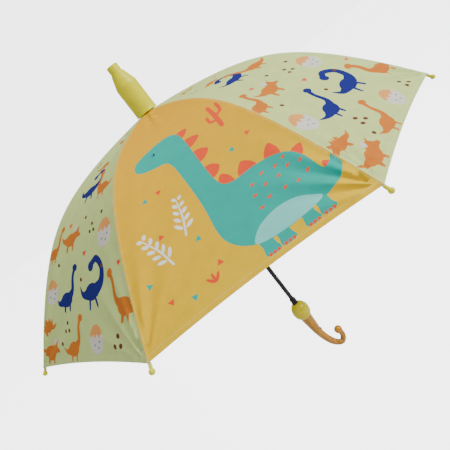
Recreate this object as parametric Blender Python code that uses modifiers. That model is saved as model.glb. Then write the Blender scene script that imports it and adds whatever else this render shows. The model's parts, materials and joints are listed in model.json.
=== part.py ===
"""Children's stick umbrella, standing open on its frame.

Eight steel ribs hang in a notched crown, each held out by a stretcher from a sliding runner.
The canopy is eight fabric sections, one along each rib.  A telescopic drip cover is pushed
together on the ferrule above it, and a bulb with a small plastic hook closes the shaft below.

Metres, +Z up along the shaft, origin at the centre of the handle's bulb.
"""
import math

import bmesh
import bpy
from mathutils import Matrix, Vector

MM = 0.001
GAP = 0.3 * MM                      # clearance between two pieces that touch
OVERCUT = 5 * MM                    # how far a cutter runs out of the piece it cuts

# Canopy and the curve of its ribs
RIB_COUNT = 8
SHARP_EDGE = math.radians(35)       # edges sharper than this aren't smoothed over
HOLE_SIDES = 8
PIN_SIDES = 12
TUBE_SIDES = 24
HUB_SIDES = 32
APEX_Z = 0.495                      # top of the canopy above the bulb's centre
RIB_ARC = 0.470                     # fabric length along a rib, from the shaft's axis to the corner
CROWN_SLOPE = math.radians(4.8)     # fall of the fabric at the shaft
RIM_SLOPE = math.radians(50.2)      # fall of the fabric at the corner
KNEE_SHARE = 0.591                  # share of the bend that lies at the stretcher's joint
KNEE_PLACE = 0.501                  # where the bend is sharpest, as a share of the arc
KNEE_WIDTH = 0.08                   # how gently it bends there, as a share of the arc
FABRIC_THICK = 0.8 * MM
FABRIC_HOLE_ARC = 8.5 * MM
RIM_BOW = 5 * MM                    # how far the edge is drawn in between two corners
FABRIC_STEP = 2 * MM                # length over which the fabric's slope is summed
FABRIC_CELLS = 12
FABRIC_CELLS_ACROSS = 4

# Ribs, stretchers and their joints
RIB_R = 1.5 * MM
RIB_DEPTH = 2.8 * MM                # rib's centre below the fabric
CROWN_RING_R = 12 * MM              # radius of the crown's and the runner's pivots
CROWN_PIVOT_DEPTH = 6.5 * MM        # crown pivots below the canopy's top
RIB_RISE_ARC = 0.070                # arc over which a rib rises from its pivot to the fabric
RIB_BEND_ARC = 0.026                # a rib's first bend beyond its eye
RIB_CLEAR_ARC = 0.035               # from here on it bends with the fabric
EYE_R = 2.3 * MM
EYE_HOLE_R = 0.9 * MM
EYE_THICK = 2.8 * MM
JOINT_ARC = 0.212                   # stretcher's joint along the rib
JOINT_DROP = 4.2 * MM               # joint's centre below the rib's centre
TAB_R = 2.2 * MM
TAB_THICK = 1.6 * MM
RIVET_R = 0.85 * MM
RIVET_HEAD_R = 1.6 * MM
RIVET_HEAD_THICK = 0.6 * MM
CHEEK_THICK = 1.0 * MM
FORK_DEPTH = 6.4 * MM
FORK_LENGTH = 11 * MM
ROD_IN_FORK = 1 * MM
STRETCHER_R = 1.3 * MM
STRETCHER_EYE_THICK = 2.2 * MM

# Ball tips
TIP_RINGS = 4
TIP_SIDES = 10
TIP_BALL_R = 3.7 * MM
TIP_NECK_R = 2.15 * MM
TIP_NECK_LENGTH = 6 * MM
TIP_BALL_SEAT = 3 * MM              # ball's centre beyond the neck
RIB_IN_TIP = 5 * MM
TIP_START = 0.6 * MM                # neck's start beyond the fabric's corner
FOLDED_TIP_R = 13.5 * MM            # where the balls gather round the shaft when folded

# Shaft, crown and runner
SHAFT_R = 4.4 * MM
SHAFT_WALL = 0.6 * MM
SHAFT_TOP = 0.050                   # above the canopy's top
SHAFT_BOTTOM_Z = 6.3 * MM
HUB_R = 9 * MM
CROWN_R = 15.5 * MM
CROWN_ABOVE = 3.2 * MM              # crown's top and bottom from its pivots
CROWN_BELOW = 4 * MM
RING_WIRE_R = 0.6 * MM
RUNNER_R = 8.2 * MM
RUNNER_HEAD_R = 15 * MM
RUNNER_HEAD_HALF = 4 * MM
RUNNER_LENGTH = 38 * MM             # below its pivots
RUNNER_LIP_R = 9.0 * MM
RUNNER_LIP = 3 * MM
RUNNER_SLOPE = 1.5 * MM             # height of the slope under the head
LIP_SLOPE = 1 * MM                  # and of the one over the lip
CATCH_REACH = 2.6 * MM              # how far a catch stands out of the shaft
CATCH_THICK = 1.6 * MM
CATCH_LENGTH = 12 * MM
CATCH_BACK = 0.8 * MM
CATCH_TAIL = 1.5 * MM               # how far it reaches inside the shaft beyond its slope
CATCH_NOSE = 2 * MM                 # straight part of the nose before the slope

# Ferrule and drip cover, heights above the canopy's top
WASHER_R = 14 * MM
WASHER_THICK = 1.2 * MM
FERRULE_R = 6 * MM
FERRULE_BASE = 0.038
FERRULE_TOP = 0.0817
FERRULE_EDGE = 0.8 * MM
FERRULE_SIDES = 20
COVER_TOP = 0.093
COVER_NECK_R = 10.4 * MM
COVER_NECK_BASE = 0.066
COVER_NECK_SHOWN = 0.014
COVER_SHOULDER = 0.024
COVER_BASE = -0.5 * MM
COVER_SHOULDER_R = 19.7 * MM
COVER_BASE_R = 20.25 * MM
COVER_WALL = 1.0 * MM
COVER_EDGE = 0.8 * MM
COVER_SOFT = 1.5 * MM               # half height of the softened corner under the cone
COVER_TUBE_DROP = 3 * MM            # inner tubes' tops below the cone
COVER_STEP = 1.2 * MM               # each inner tube ends this much higher than the one around it

# Handle
COLLAR_R = 6.3 * MM
COLLAR_LENGTH = 14 * MM
COLLAR_TAPER = 1.2 * MM
COLLAR_TAPER_LENGTH = 3 * MM
BULB_R = 18.5 * MM
BULB_HALF = 22.5 * MM
BULB_BORE_BASE = 6 * MM
BULB_STEP = 0.4 * MM                # rim left round the collar and the hook
BULB_RINGS = 10
BULB_SIDES = 28
HOOK_NECK_R = 12 * MM
HOOK_SPIGOT_R = 6 * MM
HOOK_SPIGOT = 8 * MM
HOOK_NECK_LENGTH = 42 * MM          # from the bulb's centre to the middle of the tapering neck
HOOK_LEAN = 1.0 * MM                # how far the neck's middle leans towards the hook
HOOK_NECK_END = (2.0, -63, 8.5)     # centreline's x and z, and the hook's radius there, in millimetres
HOOK_ROUTE = ((6.3, -85, 7.6), (12.7, -103, 7.2), (20.8, -115.5, 6.4), (30.0, -120.5, 6.1),
              (37.2, -114, 5.8), (39.6, -104.5, 5.7), (39.2, -96, 6.0))
HOOK_STEPS = 3                      # straight lengths between two points of the route
HOOK_CURL = (37.9, -91, 8.6)        # ball-shaped curl at the tip
HOOK_NUB = (9.3, -63.4, 3.2)        # small raised nub on the inner side of the neck

HALF_GORE = math.pi / RIB_COUNT
FIRST_RIB = -math.pi / 2 + HALF_GORE
BACK = math.pi / 2                  # the catches face away from the front gore


def new_collection(name):
    collection = bpy.data.collections.new(name)
    bpy.context.scene.collection.children.link(collection)
    return collection


def new_material(name, colour, roughness, metallic=0.0):
    material = bpy.data.materials.new(name)
    material.use_nodes = True
    shader = material.node_tree.nodes["Principled BSDF"]
    shader.inputs["Base Color"].default_value = (*colour, 1.0)
    shader.inputs["Roughness"].default_value = roughness
    shader.inputs["Metallic"].default_value = metallic
    material.diffuse_color = (*colour, 1.0)
    return material


def steel(name):
    return new_material(name, (0.55, 0.55, 0.57), 0.3, 1.0)


def black_steel(name):
    return new_material(name, (0.015, 0.015, 0.017), 0.3)


def black_plastic(name):
    return new_material(name, (0.02, 0.02, 0.022), 0.45)


def lemon_plastic(name):
    return new_material(name, (0.84, 0.80, 0.01), 0.35)


def add_object(name, data, collection):
    obj = bpy.data.objects.new(name, data)
    collection.objects.link(obj)
    return obj


def finish_mesh(mesh, material):
    """Give a mesh its material and smooth its round faces."""
    mesh.materials.clear()
    mesh.materials.append(material)
    mesh.shade_smooth()
    mesh.set_sharp_from_angle(angle=SHARP_EDGE)


def finish(obj, material):
    finish_mesh(obj.data, material)


def add_tool(name, data):
    """A solid that is only joined to a piece or cut from it."""
    tool = add_object(name, data, CUTTERS)
    tool.hide_render = True
    tool.display_type = "WIRE"
    return tool


def box_mesh(name, low, high):
    low = Vector(low)
    high = Vector(high)
    place = Matrix.Translation((low + high) / 2) @ Matrix.Diagonal((*(high - low), 1.0))
    mesh = bpy.data.meshes.new(name)
    shape = bmesh.new()
    bmesh.ops.create_cube(shape, size=1.0, matrix=place)
    shape.to_mesh(mesh)
    shape.free()
    return mesh


def pin_mesh(name, centre, radius, length, sides):
    """A cylinder along Y about a centre."""
    place = Matrix.Translation(centre) @ Matrix.Rotation(math.pi / 2, 4, "X")
    mesh = bpy.data.meshes.new(name)
    shape = bmesh.new()
    bmesh.ops.create_cone(shape, cap_ends=True, segments=sides, radius1=radius, radius2=radius,
                          depth=length, matrix=place)
    shape.to_mesh(mesh)
    shape.free()
    return mesh


def radial_boxes(name, angles, low, high):
    """Copies of one box, turned about the shaft's axis to each angle."""
    mesh = bpy.data.meshes.new(name)
    shape = bmesh.new()
    low = Vector(low)
    high = Vector(high)
    place = Matrix.Translation((low + high) / 2) @ Matrix.Diagonal((*(high - low), 1.0))
    for angle in angles:
        bmesh.ops.create_cube(shape, size=1.0, matrix=Matrix.Rotation(angle, 4, "Z") @ place)
    shape.to_mesh(mesh)
    shape.free()
    return mesh


def cut(obj, tool, operation="DIFFERENCE"):
    boolean = obj.modifiers.new(tool.name, "BOOLEAN")
    boolean.operation = operation
    boolean.solver = "EXACT"
    boolean.object = tool
    return boolean


def evaluated_mesh(obj):
    graph = bpy.context.evaluated_depsgraph_get()
    graph.update()
    return bpy.data.meshes.new_from_object(obj.evaluated_get(graph), depsgraph=graph)


def applied(base, joins=(), cuts=()):
    """The base with its tools joined and cut, as one plain mesh; the tools are used up."""
    for tool in joins:
        cut(base, tool, "UNION")
    for tool in cuts:
        cut(base, tool)
    mesh = evaluated_mesh(base)
    for used in (base, *joins, *cuts):
        bpy.data.objects.remove(used)
    return mesh


def turned(name, profile, steps, collection, closed=False):
    """A profile of (radius, height) points turned about Z, its outer side running down."""
    mesh = bpy.data.meshes.new(name)
    edges = [(i, i + 1) for i in range(len(profile) - 1)]
    if closed:
        edges.append((len(profile) - 1, 0))
    mesh.from_pydata([(radius, 0.0, height) for radius, height in profile], edges, [])
    obj = add_object(name, mesh, collection)
    screw = obj.modifiers.new("Turn", "SCREW")
    screw.axis = "Z"
    screw.angle = 2 * math.pi
    screw.steps = steps
    screw.render_steps = steps
    screw.use_merge_vertices = True
    screw.merge_threshold = 0.00001
    screw.use_smooth_shade = True
    return obj


def wire_mesh(name, path, radius, resolution=2, radii=None):
    """A round wire along a path, with its ends closed."""
    curve = bpy.data.curves.new(name, "CURVE")
    curve.dimensions = "3D"
    curve.bevel_depth = radius
    curve.bevel_resolution = resolution
    curve.use_fill_caps = True
    spline = curve.splines.new("POLY")
    spline.points.add(len(path) - 1)
    for index, point in enumerate(path):
        spline.points[index].co = (*point, 1.0)
        spline.points[index].radius = radii[index] if radii else 1.0
    guide = add_tool(name, curve)
    mesh = evaluated_mesh(guide)
    bpy.data.objects.remove(guide)
    shape = bmesh.new()
    shape.from_mesh(mesh)
    bmesh.ops.remove_doubles(shape, verts=shape.verts, dist=0.00001)
    bmesh.ops.recalc_face_normals(shape, faces=shape.faces)
    shape.to_mesh(mesh)
    shape.free()
    return mesh


# ---------------------------------------------------------------- curve of the ribs

def knee(share):
    """How much of the sharp bend is behind a place along the arc, 0 to 1."""
    def step(at):
        return 1 / (1 + math.exp(-(at - KNEE_PLACE) / KNEE_WIDTH))
    return (step(share) - step(0)) / (step(1) - step(0))


def fall(arc):
    """Slope of the fabric above a rib, below the horizontal."""
    share = min(arc / RIB_ARC, 1.0)
    return CROWN_SLOPE + (RIM_SLOPE - CROWN_SLOPE) * ((1 - KNEE_SHARE) * share + KNEE_SHARE * knee(share))


def fabric_point(arc):
    """Radius and height of the fabric above a rib, at an arc length from the axis."""
    steps = max(4, int(arc / FABRIC_STEP))
    length = arc / steps
    radius = 0.0
    height = APEX_Z
    for index in range(steps):
        slope = fall((index + 0.5) * length)
        radius += length * math.cos(slope)
        height -= length * math.sin(slope)
    return Vector((radius, 0.0, height))


def below_fabric(arc, depth):
    slope = fall(arc)
    return fabric_point(arc) - depth * Vector((math.sin(slope), 0.0, math.cos(slope)))


def rib_point(arc):
    rise = max(0.0, 1 - arc / RIB_RISE_ARC) ** 2
    return below_fabric(arc, RIB_DEPTH + (CROWN_PIVOT_DEPTH - RIB_DEPTH) * rise)


def crown_pivot():
    return Vector((CROWN_RING_R, 0.0, APEX_Z - CROWN_PIVOT_DEPTH))


def stretcher_joint():
    return below_fabric(JOINT_ARC, RIB_DEPTH + JOINT_DROP)


def runner_pivot():
    """The stretcher is as long as its joint is far from the crown, so the two pivots share a radius."""
    drop = crown_pivot().z - stretcher_joint().z
    return Vector((CROWN_RING_R, 0.0, crown_pivot().z - 2 * drop))


def fold_angle():
    """How far a rib turns from open until its ball lies beside the shaft."""
    chord = below_fabric(RIB_ARC + TIP_START, RIB_DEPTH) - crown_pivot()
    tangent = Vector((math.cos(RIM_SLOPE), 0.0, -math.sin(RIM_SLOPE)))
    chord += tangent * (TIP_NECK_LENGTH + TIP_BALL_SEAT)
    return math.atan2(chord.x, -chord.z) - math.asin((FOLDED_TIP_R - CROWN_RING_R) / chord.length)


def runner_travel():
    """Far enough to fold the ribs, unless the runner reaches the handle's collar first."""
    span = stretcher_joint() - crown_pivot()
    open_angle = math.atan2(span.x, -span.z)
    full = 2 * span.length * (math.cos(open_angle - fold_angle()) - math.cos(open_angle))
    return min(full, open_runner_bottom() - collar_top() - GAP)


def station_arcs():
    """Places along a rib that the fabric and the rib share."""
    step = (RIB_ARC - FABRIC_HOLE_ARC) / FABRIC_CELLS
    return [FABRIC_HOLE_ARC + index * step for index in range(FABRIC_CELLS + 1)]


def rib_angle(index):
    return FIRST_RIB + 2 * HALF_GORE * index


def place_on_rib(name, mesh, index, origin):
    """One of eight equal pieces: the mesh is shared, the origin lies on the piece's pivot."""
    obj = add_object(name, mesh, PARTS)
    turn = Matrix.Rotation(rib_angle(index), 4, "Z")
    obj.location = turn @ origin
    obj.rotation_euler = (0.0, 0.0, rib_angle(index))
    return obj


# ---------------------------------------------------------------- ribs, stretchers, tips

def make_ribs():
    """A wire with an eye for the crown's ring, and a tab that hangs the stretcher."""
    pivot = crown_pivot()
    joint = stretcher_joint() - pivot
    arcs = [RIB_BEND_ARC] + [arc for arc in station_arcs() if arc > RIB_CLEAR_ARC] + [RIB_ARC + RIB_IN_TIP]
    path = [Vector((0.0, 0.0, 0.0))] + [rib_point(arc) - pivot for arc in arcs]
    wire = add_tool("rib_wire", wire_mesh("rib_wire", path, RIB_R))
    eye = add_tool("rib_eye", pin_mesh("rib_eye", (0, 0, 0), EYE_R, EYE_THICK, PIN_SIDES))
    bore = 6 * RIB_R
    eye_hole = add_tool("rib_eye_hole", pin_mesh("rib_eye_hole", (0, 0, 0), EYE_HOLE_R, bore, HOLE_SIDES))
    low = (joint.x - TAB_R, -TAB_THICK / 2, joint.z)
    high = (joint.x + TAB_R, TAB_THICK / 2, joint.z + JOINT_DROP)
    web = add_tool("rib_web", box_mesh("rib_web", low, high))
    tab = add_tool("rib_tab", pin_mesh("rib_tab", joint, TAB_R, TAB_THICK, PIN_SIDES))
    tab_hole = add_tool("rib_tab_hole", pin_mesh("rib_tab_hole", joint, RIVET_R + GAP, bore, HOLE_SIDES))
    mesh = applied(wire, (eye, web, tab), (eye_hole, tab_hole))
    finish_mesh(mesh, steel("rib_steel"))
    for index in range(RIB_COUNT):
        place_on_rib(f"rib_{index + 1}", mesh, index, pivot)


def make_tips():
    """A ball on a short neck, pushed over the end of the rib; the fabric's corner is sewn to it."""
    start = RIB_ARC + TIP_START
    bore_top = RIB_R + GAP
    ball = TIP_NECK_LENGTH + TIP_BALL_SEAT
    profile = [(0.0, RIB_IN_TIP), (bore_top, RIB_IN_TIP), (bore_top, 0.0), (TIP_NECK_R, 0.0)]
    low = -math.acos(TIP_NECK_R / TIP_BALL_R)
    for step in range(TIP_RINGS + 1):
        angle = low + (math.pi / 2 - low) * step / TIP_RINGS
        profile.append((TIP_BALL_R * math.cos(angle), ball + TIP_BALL_R * math.sin(angle)))
    profile[-1] = (0.0, ball + TIP_BALL_R)
    source = turned("tip_profile", list(reversed(profile)), TIP_SIDES, CUTTERS)
    mesh = evaluated_mesh(source)
    bpy.data.objects.remove(source)
    place = below_fabric(start, RIB_DEPTH) - crown_pivot()
    mesh.transform(Matrix.Translation(place) @ Matrix.Rotation(math.pi / 2 + fall(start), 4, "Y"))
    finish_mesh(mesh, lemon_plastic("tip_plastic"))
    for index in range(RIB_COUNT):
        place_on_rib(f"rib_tip_{index + 1}", mesh, index, crown_pivot())


def make_stretchers():
    """A rod with a fork at the rib and an eye at the runner, its origin on the fork's pivot."""
    joint = stretcher_joint()
    reach = runner_pivot() - joint
    length = reach.length
    half = TAB_THICK / 2 + GAP + CHEEK_THICK
    turn = Matrix.Rotation(math.atan2(-reach.z, -reach.x) * -1, 4, "Y")
    rod_path = [(-FORK_LENGTH + ROD_IN_FORK, 0, 0), (-length, 0, 0)]
    rod = add_tool("rod", wire_mesh("rod", rod_path, STRETCHER_R))
    fork = add_tool("fork", box_mesh("fork", (-FORK_LENGTH, -half, -TAB_R), (0, half, TAB_R)))
    nose = add_tool("fork_nose", pin_mesh("fork_nose", (0, 0, 0), TAB_R, 2 * half, PIN_SIDES))
    eye = add_tool("eye", pin_mesh("eye", (-length, 0, 0), EYE_R, STRETCHER_EYE_THICK, PIN_SIDES))
    slot_half = TAB_THICK / 2 + GAP
    slot = add_tool("fork_slot", box_mesh("fork_slot", (-FORK_DEPTH, -slot_half, -2 * TAB_R),
                                          (2 * TAB_R, slot_half, 2 * TAB_R)))
    bore = 4 * half
    rivet_hole = add_tool("rivet_hole", pin_mesh("rivet_hole", (0, 0, 0), RIVET_R + GAP, bore, HOLE_SIDES))
    eye_hole = add_tool("eye_hole", pin_mesh("eye_hole", (-length, 0, 0), EYE_HOLE_R, bore, HOLE_SIDES))
    mesh = applied(fork, (nose, rod, eye), (slot, rivet_hole, eye_hole))
    mesh.transform(turn)
    finish_mesh(mesh, steel("stretcher_steel"))
    for index in range(RIB_COUNT):
        place_on_rib(f"stretcher_{index + 1}", mesh, index, joint)


def make_rivets():
    half = TAB_THICK / 2 + GAP + CHEEK_THICK + GAP
    top = half + RIVET_HEAD_THICK
    profile = [(0.0, top), (RIVET_HEAD_R, top), (RIVET_HEAD_R, half), (RIVET_R, half),
               (RIVET_R, -half), (RIVET_HEAD_R, -half), (RIVET_HEAD_R, -top), (0.0, -top)]
    source = turned("rivet_profile", profile, HOLE_SIDES, CUTTERS)
    mesh = evaluated_mesh(source)
    bpy.data.objects.remove(source)
    mesh.transform(Matrix.Rotation(math.pi / 2, 4, "X"))
    finish_mesh(mesh, steel("rivet_steel"))
    for index in range(RIB_COUNT):
        place_on_rib(f"rib_rivet_{index + 1}", mesh, index, stretcher_joint())


# ---------------------------------------------------------------- canopy

def make_canopy():
    """One section along each rib, from one gore's middle to the next; the gores are flat between ribs."""
    mesh = bpy.data.meshes.new("canopy_section")
    shape = bmesh.new()
    bmesh.ops.create_grid(shape, x_segments=FABRIC_CELLS, y_segments=FABRIC_CELLS_ACROSS, size=1.0)
    for vert in shape.verts:
        across = vert.co.y
        edge = RIB_ARC - RIM_BOW * across ** 2
        arc = FABRIC_HOLE_ARC + (vert.co.x + 1) / 2 * (edge - FABRIC_HOLE_ARC)
        point = fabric_point(arc)
        inward = point.x * math.sin(HALF_GORE) ** 2
        sideways = point.x * math.sin(HALF_GORE) * math.cos(HALF_GORE) - GAP / 2
        vert.co = (point.x - abs(across) * inward, across * sideways, point.z)
    bmesh.ops.recalc_face_normals(shape, faces=shape.faces)
    bmesh.ops.translate(shape, verts=shape.verts, vec=-crown_pivot())
    shape.to_mesh(mesh)
    shape.free()
    finish_mesh(mesh, new_material("canopy_fabric", (0.86, 0.62, 0.05), 0.8))
    for index in range(RIB_COUNT):
        section = place_on_rib(f"canopy_{index + 1}", mesh, index, crown_pivot())
        shell = section.modifiers.new("Fabric", "SOLIDIFY")
        shell.thickness = FABRIC_THICK
        shell.offset = 0.0
        shell.use_even_offset = True


# ---------------------------------------------------------------- shaft, crown, runner, catches

def ring_profile(inner, outer, top, bottom):
    """A closed ring's section, its outer side running down."""
    return [(inner, top), (outer, top), (outer, bottom), (inner, bottom)]


def open_runner_bottom():
    return runner_pivot().z - RUNNER_LENGTH


def folded_runner_top():
    return runner_pivot().z + RUNNER_HEAD_HALF - runner_travel()


def make_shaft():
    profile = ring_profile(SHAFT_R - SHAFT_WALL, SHAFT_R, APEX_Z + SHAFT_TOP, SHAFT_BOTTOM_Z)
    shaft = turned("shaft_tube", profile, TUBE_SIDES, PARTS, closed=True)
    half = CATCH_THICK / 2 + GAP
    margin = 2 * GAP
    top = open_runner_bottom() - GAP
    slots = {"top_catch_slot": (top - CATCH_LENGTH - margin, top + margin)}
    bottom = folded_runner_top() + GAP
    slots["bottom_catch_slot"] = (bottom - margin, bottom + CATCH_LENGTH + margin)
    for name, (low, high) in slots.items():
        tool = box_mesh(name, (-half, SHAFT_R / 2, low), (half, 2 * SHAFT_R, high))
        cut(shaft, add_tool(name, tool))
    finish(shaft, black_steel("shaft_lacquer"))


def catch_outline(flat_z, lean_z):
    """A catch's side view: its flat end stops the runner, its slope lets the runner push it in."""
    reach = SHAFT_R + CATCH_REACH
    inside = SHAFT_R - SHAFT_WALL - 2 * GAP
    toward = math.copysign(1.0, lean_z - flat_z)
    tail = lean_z + toward * CATCH_TAIL
    return [(CATCH_BACK, flat_z), (reach, flat_z), (reach, flat_z + toward * CATCH_NOSE),
            (inside, lean_z), (inside, tail), (CATCH_BACK, tail)]


def make_catch(name, outline):
    curve = bpy.data.curves.new(name, "CURVE")
    curve.dimensions = "2D"
    curve.fill_mode = "BOTH"
    curve.extrude = CATCH_THICK / 2
    spline = curve.splines.new("POLY")
    spline.points.add(len(outline) - 1)
    spline.use_cyclic_u = True
    for index, (reach, height) in enumerate(outline):
        spline.points[index].co = (reach, height, 0.0, 1.0)
    flat = add_tool(name + "_outline", curve)
    mesh = evaluated_mesh(flat)
    bpy.data.objects.remove(flat)
    shape = bmesh.new()
    shape.from_mesh(mesh)
    bmesh.ops.remove_doubles(shape, verts=shape.verts, dist=0.00001)
    bmesh.ops.recalc_face_normals(shape, faces=shape.faces)
    bmesh.ops.transform(shape, verts=shape.verts,
                        matrix=Matrix.Rotation(BACK, 4, "Z") @ Matrix.Rotation(math.pi / 2, 4, "X"))
    shape.to_mesh(mesh)
    shape.free()
    finish(add_object(name, mesh, PARTS), steel(name + "_steel"))


def make_catches():
    top = open_runner_bottom() - GAP
    make_catch("top_catch", catch_outline(top, top - CATCH_LENGTH))
    bottom = folded_runner_top() + GAP
    make_catch("bottom_catch", catch_outline(bottom, bottom + CATCH_LENGTH))


def make_crown():
    """The notched crown that carries the ribs, and the ring of wire through their eyes."""
    pivot_z = crown_pivot().z
    bore = SHAFT_R + GAP
    crown = turned("crown", ring_profile(bore, CROWN_R, pivot_z + CROWN_ABOVE, pivot_z - CROWN_BELOW),
                   HUB_SIDES, PARTS, closed=True)
    angles = [rib_angle(index) for index in range(RIB_COUNT)]
    half = RIB_R + GAP
    slots = radial_boxes("crown_slots", angles, (HUB_R, -half, pivot_z - 3 * CROWN_BELOW),
                         (2 * CROWN_R, half, pivot_z + 3 * CROWN_ABOVE))
    groove_half = RING_WIRE_R + GAP
    groove = turned("crown_groove", ring_profile(CROWN_RING_R - groove_half, 2 * CROWN_R,
                                                 pivot_z + groove_half, pivot_z - groove_half),
                    HUB_SIDES, CUTTERS, closed=True)
    groove.hide_render = True
    groove.display_type = "WIRE"
    cut(crown, add_tool("crown_slots", slots))
    cut(crown, groove)
    finish(crown, black_plastic("crown_plastic"))
    bpy.ops.mesh.primitive_torus_add(major_radius=CROWN_RING_R, minor_radius=RING_WIRE_R,
                                     major_segments=HUB_SIDES, minor_segments=6, location=(0, 0, pivot_z))
    ring = bpy.context.object
    ring.name = "crown_ring"
    for collection in list(ring.users_collection):
        collection.objects.unlink(ring)
    PARTS.objects.link(ring)
    finish(ring, steel("ring_steel"))


def make_runner():
    """A sleeve with a notched head for the stretchers, and a keyway that passes both catches."""
    pivot_z = runner_pivot().z
    bore = SHAFT_R + GAP
    head_top = pivot_z + RUNNER_HEAD_HALF
    head_bottom = pivot_z - RUNNER_HEAD_HALF
    bottom = open_runner_bottom()
    profile = [(bore, head_top), (RUNNER_HEAD_R, head_top), (RUNNER_HEAD_R, head_bottom),
               (RUNNER_R, head_bottom - RUNNER_SLOPE), (RUNNER_R, bottom + RUNNER_LIP + LIP_SLOPE),
               (RUNNER_LIP_R, bottom + RUNNER_LIP), (RUNNER_LIP_R, bottom), (bore, bottom)]
    runner = turned("runner", profile, HUB_SIDES, PARTS, closed=True)
    angles = [rib_angle(index) for index in range(RIB_COUNT)]
    half = STRETCHER_R + GAP
    slot_base = CROWN_RING_R - EYE_R - 2 * GAP
    slots = radial_boxes("runner_slots", angles, (slot_base, -half, head_bottom - OVERCUT),
                         (2 * RUNNER_HEAD_R, half, head_top + OVERCUT))
    key_half = CATCH_THICK / 2 + 2 * GAP
    key = box_mesh("runner_keyway", (-key_half, SHAFT_R / 2, bottom - OVERCUT),
                   (key_half, SHAFT_R + CATCH_REACH + GAP, head_top + OVERCUT))
    cut(runner, add_tool("runner_slots", slots))
    cut(runner, add_tool("runner_keyway", key))
    finish(runner, black_plastic("runner_plastic"))


# ---------------------------------------------------------------- ferrule and drip cover

def make_ferrule():
    bore = SHAFT_R + GAP
    washer_z = APEX_Z + FABRIC_THICK / 2 + GAP
    washer = turned("canopy_washer", ring_profile(bore, WASHER_R, washer_z + WASHER_THICK, washer_z),
                    TUBE_SIDES, PARTS, closed=True)
    finish(washer, black_plastic("washer_plastic"))
    seat = APEX_Z + SHAFT_TOP + GAP
    profile = [(0.0, APEX_Z + FERRULE_TOP), (FERRULE_R - FERRULE_EDGE, APEX_Z + FERRULE_TOP),
               (FERRULE_R, APEX_Z + FERRULE_TOP - FERRULE_EDGE), (FERRULE_R, APEX_Z + FERRULE_BASE),
               (bore, APEX_Z + FERRULE_BASE), (bore, seat), (0.0, seat)]
    finish(turned("ferrule", profile, FERRULE_SIDES, PARTS), black_plastic("ferrule_plastic"))


def make_cover():
    """A tip fixed on the ferrule, and three loose tubes that stand pushed together around it."""
    top = APEX_Z + COVER_TOP
    base = APEX_Z + COVER_NECK_BASE
    chamfer = COVER_EDGE
    seat = APEX_Z + FERRULE_TOP + GAP
    bore = FERRULE_R + GAP
    tip = [(0.0, top), (COVER_NECK_R - chamfer, top), (COVER_NECK_R, top - chamfer),
           (COVER_NECK_R, base), (bore, base), (bore, seat), (0.0, seat)]
    finish(turned("cover_tip", tip, TUBE_SIDES, PARTS), lemon_plastic("cover_tip_plastic"))

    shoulder_top = top - COVER_NECK_SHOWN
    shoulder_low = shoulder_top - COVER_SHOULDER
    bottom = APEX_Z + COVER_BASE
    hole = COVER_NECK_R + GAP
    soft = COVER_SOFT
    outer = [(hole, shoulder_top), (hole + COVER_WALL, shoulder_top), 
             (COVER_SHOULDER_R - soft / 2, shoulder_low + soft), (COVER_SHOULDER_R, shoulder_low - soft),
             (COVER_BASE_R, bottom)]
    inner = [(COVER_BASE_R - COVER_WALL, bottom), (COVER_SHOULDER_R - COVER_WALL, shoulder_low - soft),
             (hole, shoulder_top - 2 * COVER_WALL)]
    sleeve = turned("cover_sleeve_outer", outer + inner, HUB_SIDES, PARTS, closed=True)
    finish(sleeve, lemon_plastic("cover_outer_plastic"))

    loose = 2 * GAP
    middle_outer = COVER_SHOULDER_R - COVER_WALL - loose
    middle_inner = middle_outer - COVER_WALL
    tube_top = shoulder_low - COVER_TUBE_DROP
    middle = ring_profile(middle_inner, middle_outer, tube_top, bottom + COVER_STEP)
    finish(turned("cover_sleeve_middle", middle, TUBE_SIDES, PARTS, closed=True),
           lemon_plastic("cover_middle_plastic"))
    small_outer = middle_inner - loose
    small_inner = small_outer - COVER_WALL
    small = ring_profile(small_inner, small_outer, tube_top, bottom + 2 * COVER_STEP)
    finish(turned("cover_sleeve_inner", small, TUBE_SIDES, PARTS, closed=True),
           lemon_plastic("cover_inner_plastic"))


# ---------------------------------------------------------------- handle

def collar_top():
    """Where the collar ends, and the runner can slide no lower."""
    bulb_top = BULB_HALF * math.sin(math.acos((COLLAR_R + BULB_STEP) / BULB_R))
    return bulb_top + GAP + COLLAR_LENGTH


def make_handle():
    bore = SHAFT_R + GAP
    bulb_low_r = HOOK_NECK_R + BULB_STEP
    high = math.acos((COLLAR_R + BULB_STEP) / BULB_R)
    low = -math.acos(bulb_low_r / BULB_R)
    surface = []
    for step in range(BULB_RINGS + 1):
        turn = high + (low - high) * step / BULB_RINGS
        surface.append((BULB_R * math.cos(turn), BULB_HALF * math.sin(turn)))
    bulb_top = surface[0][1]
    bulb_low = surface[-1][1]
    socket_r = HOOK_SPIGOT_R + GAP
    socket_top = bulb_low + HOOK_SPIGOT + GAP
    bulb = [(0.0, BULB_BORE_BASE), (bore, BULB_BORE_BASE), (bore, bulb_top)] + surface
    bulb += [(socket_r, bulb_low), (socket_r, socket_top), (0.0, socket_top)]
    finish(turned("handle_bulb", bulb, BULB_SIDES, PARTS), lemon_plastic("bulb_plastic"))

    collar_high = collar_top()
    collar_low = collar_high - COLLAR_LENGTH
    collar = [(bore, collar_high), (COLLAR_R - COLLAR_TAPER, collar_high),
              (COLLAR_R, collar_high - COLLAR_TAPER_LENGTH), (COLLAR_R, collar_low), (bore, collar_low)]
    finish(turned("handle_collar", collar, TUBE_SIDES, PARTS, closed=True), black_plastic("collar_plastic"))
    make_hook(bulb_low - GAP)


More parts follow.
